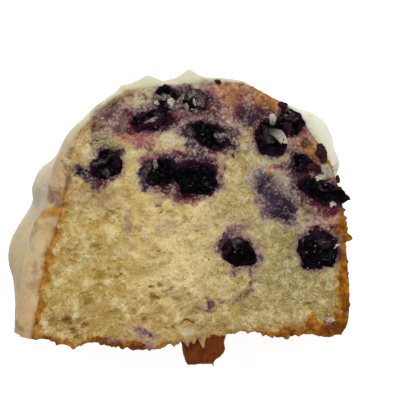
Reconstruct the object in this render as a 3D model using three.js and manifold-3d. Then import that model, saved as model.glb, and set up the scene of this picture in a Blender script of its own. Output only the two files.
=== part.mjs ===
// A slice of a ring-shaped bundt cake with blueberries in it and a poured white icing.
// It lies on one of its two cut faces and shows the other one, which slopes down towards the tube side.
// Units are millimetres, +Z is up, and the origin is on the lower cut face, under the middle of the slice.
// The ring's own axis lies in the plane Z = 0, along Y, on the +X side. The cake's domed top points to +Y.
import * as THREE from "three";
import { mergeVertices } from "three/addons/utils/BufferGeometryUtils.js";
import Module from "manifold-3d";

// ---- The ring that the slice was cut from ----
const OUTER_RADIUS = 128; // at the foot of the outer wall
const FLUTE_COUNT = 16;
const SLICE_ANGLE = (2 * Math.PI) / FLUTE_COUNT; // the slice is one flute wide, cut from groove to groove
// How far the flute's ridge stands proud of the grooves on the outer wall: [height, depth].
const FLUTE_DEPTHS = [[0, 1.4], [10, 2.7], [26, 4.8], [35, 4.9], [43, 5.4], [53, 0.9], [62, 0]];
const AXIS_X = 85; // where the ring's axis stands
const HEIGHT = 72;

// ---- The section that the knife shows: [from the outer foot towards the tube, above the foot] ----
const WALL_OUTLINE = [
  [0, 0], [1.6, 9.2], [4.1, 23.4], [7.9, 34.1], [10.2, 46.4], [12.6, 55.3], // outer wall
  [20.2, 63.6], [29.1, 68.4], [41.9, 70.6], [56.9, 71.2], [65, 68.6], [74.2, 62.9], // dome
  [82.3, 52.4], [87.6, 41.1], [89.4, 26.7], [90.5, 7], [88.7, 0.6], // wall of the tube
];
const BASE_OUTLINE = [
  [88.7, 0.6], [85, -0.7], [77.3, 0], [69.6, -0.5], [62, 1], [54, 0.7], // raised half
  [42.9, -1.2], [35, -2.7], [26.1, -2.5], [17.9, -1.2], // sagging half
  [12.5, -1.9], [7.7, -1.6], [4.6, -0.1], [0, 0],
];
const SECTION_MIDDLE = [47, 31];

// ---- The finish of the solids ----
const WALL_STEPS = 76;
const BASE_STEPS = 34;
const ANGLE_STEPS = 11;
const FACE_GRID = 3.2; // the mesh of the torn crumb on the shown face
const FACE_RELIEF = { height: 0.8, size: 5.5, fineHeight: 0.36, fineSize: 2.4 }; // the crumb's rise and fall
const FACE_MARGIN = 14; // the block that the face is cut with reaches past the section by this much
const FACE_BLOCK_DEPTH = 60; // and down past the lower cut face
const BASE_RELIEF = { height: 0.5, size: 4, turns: 18 }; // furrows across the foot
const PAST_CUT = 0.04; // an angle, by which solids run on past a face that they are cut at
const NOISE_LAYER = { face: 7, fineFace: 19, base: 31, icing: 11, edge: 3, berry: 5 };
const FIT_GAP = 0.3; // between the cake and what lies on it or in it

// ---- The icing ----
// Its thickness at the shown face: [millimetres along the outline from the outer foot, thickness].
const ICING_AT_CUT = [
  [0, 3.2], [3.5, 4.9], [14, 4.8], [30, 5.6], [40, 4.4], [48, 4.2], [54, 3.2], [64, 2.1], [72, 2.1],
  [77, 2.8], [82, 3.6], [88, 0.9], [94, 3.3], [99, 1.4], [108, 1], [122, 0.9], [134, 2.6],
];
// The same behind the shown face.
const ICING_BEHIND = [
  [0, 3.2], [14, 3.4], [25, 4.4], [42, 3.6], [52, 2.2], [66, 1.8],
  [100, 1.8], [112, 1.2], [122, 0.9], [134, 2.6],
];
const ICING_BLEND = 9; // the thickness at the cut has changed into the one behind it this deep
const ICING_LUMPS = { height: 0.6, length: 7, width: 6 };
const ICING_LEAST = 0.5; // away from its edge it is never thinner
const BEAD_WIDTH = 3.4; // how wide the rounded edge of the icing is
const ICING_TUCK = 1.2; // where there is no icing, its outline is this far inside the cake, and is cut away
const ICING_FLOOR_GAP = 0.5; // the icing's lower cut stays clear of the surface that the slice lies on
const FLOOR_SLAB = { side: 400, thickness: 40 };
const OUTER_EDGE = 34; // along the outline, where the icing ends between its drips
const INNER_EDGE = 143; // the same on the tube side
const EDGE_WAVE = { height: 1.5, size: 5 };
// Each drip: middle behind the shown face, half width, how far it runs down past the edge.
const OUTER_DRIPS = [
  { middle: 6, halfWidth: 19, reach: 42 },
  { middle: 37, halfWidth: 6.5, reach: 24 },
];
const INNER_DRIPS = [{ middle: 7, halfWidth: 8, reach: 5 }];
// Rounded swellings: place along the outline, depth behind the shown face, size both ways, height.
const ICING_SWELLS = [
  { along: 134, behind: 7, length: 8.5, width: 7, height: 3.8 }, // the drop on the tube side's shoulder
  { along: 18, behind: 20, length: 9, width: 14, height: 2.4 }, // the belly of the big outer drip
  { along: 3, behind: 15, length: 4, width: 12, height: 0.8 }, // its foot
  { along: 16, behind: 37, length: 6, width: 5, height: 1.2 }, // the bead of the small outer drip
];
// No icing next to the cut here. Its rim is where the bump falls to this level.
const BARE_PATCH = { along: 119, behind: 0, length: 9, width: 14 };
const BARE_LEVEL = 0.45;

// ---- The blueberries that the knife met: place in the face, size, turn in degrees, seed ----
const BERRY_STEPS = 2; // how finely a berry's ball is divided
const BERRY_LUMPS = { height: 0.13, rate: 1.6, seedStep: 9 };
const BERRY_CUT_LEVEL = 0.2; // a cut berry's flesh flattens out this far above the face
const BERRY_CUT_KEEP = 0.22; // and keeps this share of its height above that
const BERRIES = [
  { name: "berry_crown_outer", at: [37.5, 66.6], size: [3.4, 3.5, 3.6], turn: 20, sunk: 0.8, seed: 1 },
  { name: "berry_crown_inner", at: [44.4, 66.6], size: [4.5, 3.5, 3.8], turn: -10, sunk: 0.9, seed: 2 },
  { name: "berry_crown_under", at: [33.3, 60.6], size: [6.3, 3, 4], turn: 12, sunk: 1.2, seed: 3 },
  { name: "berry_ridge", at: [49.3, 56.2], size: [7.2, 3.4, 4.2], turn: -16, sunk: 1.3, seed: 4 },
  { name: "berry_large_inner", at: [45.4, 44.3], size: [6.7, 5.3, 5.6], turn: -14, sunk: 1.4, seed: 5 },
  { name: "berry_large_outer", at: [36, 46.2], size: [5.4, 4.3, 4.6], turn: 6, sunk: 1.4, seed: 6 },
  { name: "berry_outer_wall", at: [20.4, 48], size: [5, 4.1, 4.4], turn: 58, sunk: 1.2, seed: 7 },
  { name: "berry_shoulder", at: [67.6, 55.8], size: [5, 5.2, 5.2], turn: 0, sunk: 1, seed: 8 },
  { name: "berry_shoulder_rim", at: [73, 60.6], size: [3.4, 4.3, 4], turn: 38, sunk: 1.4, seed: 9 },
  { name: "berry_tube_speck", at: [76.4, 48.8], size: [3.3, 2.2, 3], turn: -40, sunk: 1.2, seed: 10 },
  { name: "berry_tube_wall", at: [82.6, 40.6], size: [7.6, 3.4, 4.6], turn: -14, sunk: 0.9, seed: 11 },
  { name: "berry_low_tube", at: [81.4, 24], size: [5.7, 5.6, 5.6], turn: 0, sunk: 1, seed: 12 },
  { name: "berry_low_middle", at: [58.9, 23.2], size: [6, 4.1, 4.8], turn: -18, sunk: 1.3, seed: 13 },
];

// ---- The torn tab of crust under the base, and a sliver beside it: outlines in the face ----
const TAB_OUTLINE = [
  [41.5, 2], [42.3, -2.7], [42.6, -4.3], [43.1, -6], [43.8, -7.8], [44.9, -8.3], [50.5, -8.1], [51.4, -8.7],
  [51.7, -7.2], [53.4, -6], [54.6, -4.4], [54.3, -1.8], [54.2, 2.2],
];
const TAB = { thickness: 2.4, below: 3.6, lean: 0.16 };
const SLIVER_OUTLINE = [[26.2, -2.4], [28.2, -3.7], [32.4, -3.5], [36, -3.2], [37, -1], [27.6, -0.6]];
const SLIVER = { thickness: 3, below: 3.4, lean: 0 };

// ---- Colours ----
const COLOURS = {
  crumb: { color: 0xd2b57c, roughness: 0.9, metalness: 0 },
  icing: { color: 0xe6e0cb, roughness: 0.4, metalness: 0 },
  berry: { color: 0x1d1320, roughness: 0.3, metalness: 0 },
};

const wasm = await Module();
wasm.setup();

// ---- Numbers that vary smoothly ----

function smoothStep(low, high, x) {
  const t = Math.min(1, Math.max(0, (x - low) / (high - low)));
  return t * t * (3 - 2 * t);
}

// A fixed value from -1 to 1 for each corner of a lattice.
function latticeValue(i, j, k) {
  let h = Math.imul(i, 73856093) ^ Math.imul(j, 19349663) ^ Math.imul(k, 83492791);
  h = Math.imul(h ^ (h >>> 13), 1274126177);
  return ((h ^ (h >>> 16)) >>> 0) / 2147483648 - 1;
}

// Smooth noise from -1 to 1, with lumps about one unit wide.
function noise(x, y, z) {
  const cell = [x, y, z].map(Math.floor);
  const [fx, fy, fz] = [x, y, z].map((value, axis) => smoothStep(0, 1, value - cell[axis]));
  let sum = 0;
  for (let corner = 0; corner < 8; corner++) {
    const [dx, dy, dz] = [corner & 1, (corner >> 1) & 1, corner >> 2];
    const weight = (dx ? fx : 1 - fx) * (dy ? fy : 1 - fy) * (dz ? fz : 1 - fz);
    sum += weight * latticeValue(cell[0] + dx, cell[1] + dy, cell[2] + dz);
  }
  return sum;
}

// The value at x of a smooth line through [x, value] stations, level past both ends.
function alongStations(stations, x) {
  if (x <= stations[0][0]) return stations[0][1];
  for (let i = 1; i < stations.length; i++) {
    const [x0, v0] = stations[i - 1];
    const [x1, v1] = stations[i];
    if (x <= x1) return v0 + (v1 - v0) * smoothStep(x0, x1, x);
  }
  return stations[stations.length - 1][1];
}

function bump(x, y, spot) {
  const dx = (x - spot.along) / spot.length;
  const dy = (y - spot.behind) / spot.width;
  return Math.exp(-(dx * dx + dy * dy));
}

// ---- The outline of the section, as stations with their place along it and their outward direction ----

function outlineStations(points, steps, base) {
  const curve = new THREE.SplineCurve(points.map(([u, h]) => new THREE.Vector2(u, h)));
  curve.arcLengthDivisions = 600;
  const length = curve.getLength();
  return Array.from({ length: steps + 1 }, (_, i) => {
    const place = curve.getPointAt(i / steps);
    const way = curve.getTangentAt(i / steps);
    return { u: place.x, h: place.y, along: (length * i) / steps, out: [-way.y, way.x], base };
  });
}

const WALL = outlineStations(WALL_OUTLINE, WALL_STEPS, false);
const BASE = outlineStations(BASE_OUTLINE, BASE_STEPS, true);
const STATIONS = [...WALL, ...BASE.slice(1, -1)]; // all the way round, with each corner once

// How far the flute lifts the surface at a station, at a share of the slice's angle from 0 to 1.
function fluteLift(station, share) {
  if (station.base || station.u > SECTION_MIDDLE[0]) return 0;
  return alongStations(FLUTE_DEPTHS, station.h) * Math.sin(Math.PI * THREE.MathUtils.clamp(share, 0, 1)) ** 2;
}

// ---- Swept solids ----

// A point of the section in the ring, at an angle up from the lower cut face.
function inRing(u, h, angle) {
  const radius = OUTER_RADIUS - u;
  return [AXIS_X - radius * Math.cos(angle), h - HEIGHT / 2, radius * Math.sin(angle)];
}

// Sweeps the section from one angle to another. offset(station, angle) moves the surface outwards.
function sweep(fromAngle, toAngle, offset) {
  const count = STATIONS.length;
  const positions = [];
  const triangles = [];
  for (let j = 0; j <= ANGLE_STEPS; j++) {
    const angle = fromAngle + ((toAngle - fromAngle) * j) / ANGLE_STEPS;
    for (const station of STATIONS) {
      const [out, up] = station.out.map((part) => part * offset(station, angle));
      positions.push(...inRing(station.u + out, station.h + up, angle));
    }
  }
  for (let j = 0; j < ANGLE_STEPS; j++) {
    for (let i = 0; i < count; i++) {
      const a = j * count + i;
      const b = j * count + ((i + 1) % count);
      triangles.push(a, a + count, b, b, a + count, b + count);
    }
  }
  const firstMiddle = positions.length / 3;
  positions.push(...inRing(...SECTION_MIDDLE, fromAngle), ...inRing(...SECTION_MIDDLE, toAngle));
  for (let i = 0; i < count; i++) {
    const after = (i + 1) % count;
    triangles.push(i, after, firstMiddle);
    triangles.push(ANGLE_STEPS * count + i, firstMiddle + 1, ANGLE_STEPS * count + after);
  }
  return geometryOf(positions, triangles);
}

function geometryOf(positions, triangles) {
  const geometry = new THREE.BufferGeometry();
  geometry.setAttribute("position", new THREE.Float32BufferAttribute(positions, 3));
  geometry.setIndex(triangles);
  return geometry;
}

// ---- Booleans ----

function merged(geometry) {
  const bare = geometry.clone();
  bare.deleteAttribute("normal");
  bare.deleteAttribute("uv");
  return mergeVertices(bare, 1e-4);
}

function toSolid(geometry, matrix = new THREE.Matrix4()) {
  const { attributes, index } = merged(geometry).applyMatrix4(matrix);
  const vertProperties = attributes.position.array;
  const triVerts = new Uint32Array(index.array);
  return new wasm.Manifold(new wasm.Mesh({ numProp: 3, vertProperties, triVerts }));
}

function toGeometry(solid) {
  const { vertProperties, triVerts } = solid.getMesh();
  const geometry = geometryOf(Array.from(vertProperties), Array.from(triVerts));
  geometry.computeVertexNormals();
  return geometry;
}

function largestBody(solid) {
  return solid.decompose().reduce((best, body) => (body.volume() > best.volume() ? body : best));
}

// ---- The slice's frames ----

const slice = new THREE.Group();

// The frame of the shown face: +X across it towards the tube, +Y up the section, +Z out of it.
const shownFace = new THREE.Group();
shownFace.position.set(...inRing(0, 0, SLICE_ANGLE));
shownFace.rotation.y = SLICE_ANGLE;
slice.add(shownFace);
slice.updateMatrixWorld(true);

// ---- The sub-parts ----

// A blueberry in its own frame, grown by a margin. What the knife left above the face is nearly flat.
function berryGeometry(berry, margin = 0) {
  const ball = merged(new THREE.IcosahedronGeometry(1, BERRY_STEPS));
  const place = ball.attributes.position;
  const [a, b, c] = berry.size;
  const { height, rate, seedStep } = BERRY_LUMPS;
  for (let i = 0; i < place.count; i++) {
    const [x, y, z] = [place.getX(i), place.getY(i), place.getZ(i)];
    const apart = seedStep * berry.seed;
    const swell = 1 + height * noise(rate * x + apart, rate * y, rate * z + NOISE_LAYER.berry);
    const level = c * z * swell - berry.sunk;
    const cut = level - Math.max(0, level - BERRY_CUT_LEVEL) * (1 - BERRY_CUT_KEEP);
    place.setXYZ(i, (a * swell + margin) * x, (b * swell + margin) * y, cut + margin * z);
  }
  return ball;
}

function berryMesh(berry) {
  const mesh = new THREE.Mesh(berryGeometry(berry), material(COLOURS.berry));
  mesh.name = berry.name;
  mesh.position.set(...berry.at, 0);
  mesh.rotation.z = THREE.MathUtils.degToRad(berry.turn);
  shownFace.add(mesh);
  mesh.updateWorldMatrix(true, false);
  return mesh;
}

// Takes from a mesh what a solid in the slice's frame covers.
function cutMesh(mesh, cutter) {
  const left = largestBody(toSolid(mesh.geometry, mesh.matrixWorld).subtract(cutter));
  mesh.geometry = toGeometry(left).applyMatrix4(mesh.matrixWorld.clone().invert());
}

// A scrap of crust: an outline in the face, made thick and leaned back.
function crustScrap(outline, { thickness, below, lean }) {
  const shape = new THREE.Shape(outline.map(([u, h]) => new THREE.Vector2(u, h)));
  const geometry = new THREE.ExtrudeGeometry(shape, { depth: thickness, bevelEnabled: false });
  const place = geometry.attributes.position;
  for (let i = 0; i < place.count; i++) {
    place.setZ(i, place.getZ(i) - below + lean * Math.min(0, place.getY(i)));
  }
  return toSolid(geometry, shownFace.matrixWorld);
}

// Everything below the torn face, as a block whose top rises and falls.
function belowFace() {
  const width = OUTER_RADIUS;
  const height = HEIGHT + 2 * FACE_MARGIN;
  const [columns, rows] = [width / FACE_GRID, height / FACE_GRID];
  const block = new THREE.BoxGeometry(width, height, FACE_BLOCK_DEPTH, columns, rows, 1);
  block.translate(width / 2 - FACE_MARGIN, HEIGHT / 2, -FACE_BLOCK_DEPTH / 2);
  const place = block.attributes.position;
  const { height: rise, size, fineHeight, fineSize } = FACE_RELIEF;
  for (let i = 0; i < place.count; i++) {
    const [x, y, z] = [place.getX(i), place.getY(i), place.getZ(i)];
    const relief = rise * noise(x / size, y / size, NOISE_LAYER.face);
    const fineRelief = fineHeight * noise(x / fineSize, y / fineSize, NOISE_LAYER.fineFace);
    if (z > -FACE_BLOCK_DEPTH / 2) place.setZ(i, relief + fineRelief);
  }
  return toSolid(block, shownFace.matrixWorld);
}

// The crumb and crust, one solid with a pocket round each berry.
function cakeSolid(grownBerries) {
  const { height, size, turns } = BASE_RELIEF;
  const surface = (station, angle) => {
    if (!station.base) return fluteLift(station, angle / SLICE_ANGLE);
    const furrow = noise(station.u / size, angle * turns, NOISE_LAYER.base);
    return height * furrow * smoothStep(0, SLICE_ANGLE, angle);
  };
  return toSolid(sweep(0, SLICE_ANGLE + PAST_CUT, surface))
    .intersect(belowFace())
    .add(crustScrap(TAB_OUTLINE, TAB))
    .add(crustScrap(SLIVER_OUTLINE, SLIVER))
    .subtract(grownBerries);
}

// Where the icing's edge runs along the outline, at a depth behind the shown face.
function edgeAt(edge, drips, direction, behind) {
  let reach = 0;
  for (const drip of drips) {
    const across = (behind - drip.middle) / drip.halfWidth;
    reach = Math.max(reach, drip.reach * Math.exp(-(across ** 4)));
  }
  const wave = EDGE_WAVE.height * noise(behind / EDGE_WAVE.size, edge, NOISE_LAYER.edge);
  return edge + direction * (reach + wave);
}

// The icing's thickness at a station. Outside its edge, a number below 0 says how far away that is.
function icingThickness(station, behind) {
  const outer = station.along - edgeAt(OUTER_EDGE, OUTER_DRIPS, -1, behind);
  const inner = edgeAt(INNER_EDGE, INNER_DRIPS, 1, behind) - station.along;
  const bare = BARE_PATCH.length * (BARE_LEVEL - bump(station.along, behind, BARE_PATCH));
  const inside = Math.min(outer, inner, bare);
  if (inside <= 0) return inside;
  const rounded = Math.sqrt(1 - (1 - Math.min(1, inside / BEAD_WIDTH)) ** 2);
  const { height, length, width } = ICING_LUMPS;
  const lumps = height * noise(station.along / length, behind / width, NOISE_LAYER.icing);
  const cut = alongStations(ICING_AT_CUT, station.along);
  const back = alongStations(ICING_BEHIND, station.along) + lumps;
  const lift = (sum, swell) => sum + swell.height * bump(station.along, behind, swell);
  const swells = ICING_SWELLS.reduce(lift, 0);
  const thickness = cut + (back - cut) * smoothStep(0, ICING_BLEND, behind) + swells;
  return Math.max(ICING_LEAST, thickness) * rounded;
}

// The icing: a shell between the cake's surface and a raised copy of it.
function icingSolid(grownBerries) {
  const under = (station, angle) => fluteLift(station, angle / SLICE_ANGLE) + FIT_GAP;
  const raised = (station, angle) => {
    if (station.base) return -ICING_TUCK;
    const thickness = icingThickness(station, (OUTER_RADIUS - station.u) * (SLICE_ANGLE - angle));
    return under(station, angle) + Math.max(-ICING_TUCK, thickness);
  };
  const { side, thickness } = FLOOR_SLAB;
  const floor = new THREE.BoxGeometry(side, side, thickness).translate(0, 0, ICING_FLOOR_GAP - thickness / 2);
  return toSolid(sweep(0, SLICE_ANGLE, raised))
    .subtract(toSolid(sweep(-PAST_CUT, SLICE_ANGLE + PAST_CUT, under)))
    .subtract(toSolid(floor))
    .subtract(grownBerries);
}

function material({ color, roughness, metalness }) {
  return new THREE.MeshStandardMaterial({ color, roughness, metalness });
}

function addMesh(name, solid, colour) {
  const mesh = new THREE.Mesh(toGeometry(largestBody(solid)), material(colour));
  mesh.name = name;
  slice.add(mesh);
}

// ---- The slice ----

let grownBerries = null;
for (const berry of BERRIES) {
  const mesh = berryMesh(berry);
  const grown = toSolid(berryGeometry(berry, FIT_GAP), mesh.matrixWorld);
  if (grownBerries) cutMesh(mesh, grownBerries);
  grownBerries = grownBerries ? grownBerries.add(grown) : grown;
}
addMesh("cake", cakeSolid(grownBerries), COLOURS.crumb);
addMesh("icing", icingSolid(grownBerries), COLOURS.icing);

export default slice;
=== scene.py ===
# A slice of blueberry bundt cake with poured icing, lying on one cut face with the other one shown.
# Lengths are millimetres on the section: u from the outer foot towards the tube, h above the foot,
# and lift is how far a point stands out of the shown face. Meshes are turned into metres at the end.
import math

import bmesh
import bpy
import numpy as np
from mathutils import Matrix, Vector
from mathutils.geometry import delaunay_2d_cdt


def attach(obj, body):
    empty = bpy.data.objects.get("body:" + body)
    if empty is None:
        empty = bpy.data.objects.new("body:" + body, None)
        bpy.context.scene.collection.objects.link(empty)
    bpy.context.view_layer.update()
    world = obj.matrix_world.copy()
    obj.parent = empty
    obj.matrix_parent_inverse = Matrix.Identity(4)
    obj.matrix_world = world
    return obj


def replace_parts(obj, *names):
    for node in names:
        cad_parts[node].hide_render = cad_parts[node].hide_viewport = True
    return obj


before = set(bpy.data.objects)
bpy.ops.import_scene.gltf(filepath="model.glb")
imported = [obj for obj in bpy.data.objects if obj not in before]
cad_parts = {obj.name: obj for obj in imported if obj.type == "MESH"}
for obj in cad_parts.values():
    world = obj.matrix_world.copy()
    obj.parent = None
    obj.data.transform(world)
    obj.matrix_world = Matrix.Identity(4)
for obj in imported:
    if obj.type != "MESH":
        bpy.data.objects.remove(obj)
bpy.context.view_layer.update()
MM = 1000  # to the metre

# ---- The ring and its section, with the numbers of the solids ----
OUTER_RADIUS = 128
SLICE_ANGLE = math.pi / 8
AXIS_X = 85
HEIGHT = 72
FULL_WIDTH = 90
FLUTE_DEPTHS = [(0, 1.4), (10, 2.7), (26, 4.8), (35, 4.9), (43, 5.4), (53, 0.9), (62, 0)]
FLUTED_TO = 47
WALL_OUTLINE = [
    (0, 0), (1.6, 9.2), (4.1, 23.4), (7.9, 34.1), (10.2, 46.4), (12.6, 55.3), (20.2, 63.6), (29.1, 68.4),
    (41.9, 70.6), (56.9, 71.2), (65, 68.6), (74.2, 62.9), (82.3, 52.4), (87.6, 41.1), (89.4, 26.7),
    (90.5, 7), (88.7, 0.6),
]
BASE_OUTLINE = [
    (88.7, 0.6), (85, -0.7), (77.3, 0), (69.6, -0.5), (62, 1), (54, 0.7), (42.9, -1.2), (35, -2.7),
    (26.1, -2.5), (17.9, -1.2), (12.5, -1.9), (7.7, -1.6), (4.6, -0.1), (0, 0),
]
OUT_OF_FACE = np.array([math.sin(SLICE_ANGLE), 0, math.cos(SLICE_ANGLE)])

# ---- The crumb of the shown face ----
LOOP_STEP = 0.36
FACE_STEP = 0.37
LOWER_FACE_STEP = 1.3
FACE_SEED, LOWER_FACE_SEED = 3, 4
WALL_ROWS = 30
WALL_CROWDING = 1.7  # above 1, rows are closer together near the shown face
LOWER_FACE_BEHIND = 99.0  # further back than any wall
FAR_FROM_EDGE = 9.0
# Hollows, pits and tears: u, h, half length, half width, turn in degrees, depth.
HOLLOWS = [
    (34.4, 10.6, 1.4, 1.26, 0, 1.4), (33.3, 14, 0.7, 0.56, 0, 1), (35.8, 14.2, 0.84, 0.56, 20, 1),
    (17.9, 17.2, 1.68, 1.4, 0, 0.9), (15.7, 9.5, 1.4, 1.12, 0, 0.7), (12.9, 8.7, 0.84, 0.84, 0, 0.7),
    (21, 19.4, 0.56, 0.42, 0, 0.6), (22.5, 17.2, 0.7, 0.42, 0, 0.6), (24, 17.1, 0.56, 0.42, 0, 0.6),
    (26, 9.4, 1.12, 0.34, 10, 0.6), (28.9, 9.9, 0.84, 0.28, 0, 0.5), (10.2, 4.6, 1.4, 1.12, 0, 0.8),
    (14.6, 2.6, 1.68, 0.84, -25, 0.8), (11.7, 2.1, 1.12, 1.12, 0, 0.9), (37.2, 2.5, 0.84, 0.28, 0, 0.7),
    (39.8, 3.2, 0.95, 0.34, 10, 0.8), (43.8, 4.1, 2.52, 0.5, 8, 1.2), (49.3, 10.4, 1.68, 0.45, 10, 0.9),
    (62.6, 7.9, 0.84, 1.12, 0, 0.6), (78.4, 8.1, 1.4, 1.12, 0, 0.5), (63.7, 46.1, 0.84, 0.25, -20, 1),
    (75.9, 30, 0.78, 0.2, 50, 0.7), (72.3, 23.8, 0.56, 0.22, -20, 0.5), (36.2, 35.6, 0.62, 0.45, 0, 0.9),
    (32.4, 52.1, 0.28, 0.56, 0, 0.6), (38.9, 54.7, 0.34, 0.34, 0, 0.5), (37.2, 54.1, 0.28, 0.28, 0, 0.5),
    (47.4, 35.6, 0.45, 0.34, 0, 0.6), (44.1, 32.9, 0.62, 0.28, 35, 0.6), (43.5, 31.8, 0.45, 0.28, 0, 0.5),
    (53.2, 42.6, 0.36, 0.34, 0, 0.6), (48, 38.2, 0.45, 0.28, 0, 0.5), (24, 52.1, 0.95, 0.56, -20, 1.1),
    (16.5, 53.1, 0.84, 1.12, 0, 0.9), (18.7, 55.1, 1.96, 0.5, -15, 0.8), (17.4, 57.3, 0.45, 1.68, 0, 0.7),
    (18.2, 62.2, 0.56, 0.56, 0, 0.7), (8, 47.6, 0.45, 0.62, 0, 0.7), (6, 47, 0.45, 0.39, 0, 0.6),
    (8.8, 47, 0.39, 0.39, 0, 0.6), (7.4, 40.4, 0.73, 0.56, 20, 0.8), (5.8, 41.8, 0.84, 0.39, 40, 0.8),
    (5.8, 39, 0.45, 0.84, -20, 0.7), (12, 42.5, 0.5, 0.56, 0, 0.7), (10.2, 40.4, 0.39, 0.39, 0, 0.6),
    (10.8, 43.7, 0.5, 0.45, 0, 0.6),
]
# Torn grooves whose floors are smooth, written as the hollows are.
GROOVES = [(59.7, 11.4, 3.92, 1.26, 51, 1.0), (17.4, 57.3, 0.5, 1.7, 0, 0.6)]
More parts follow.
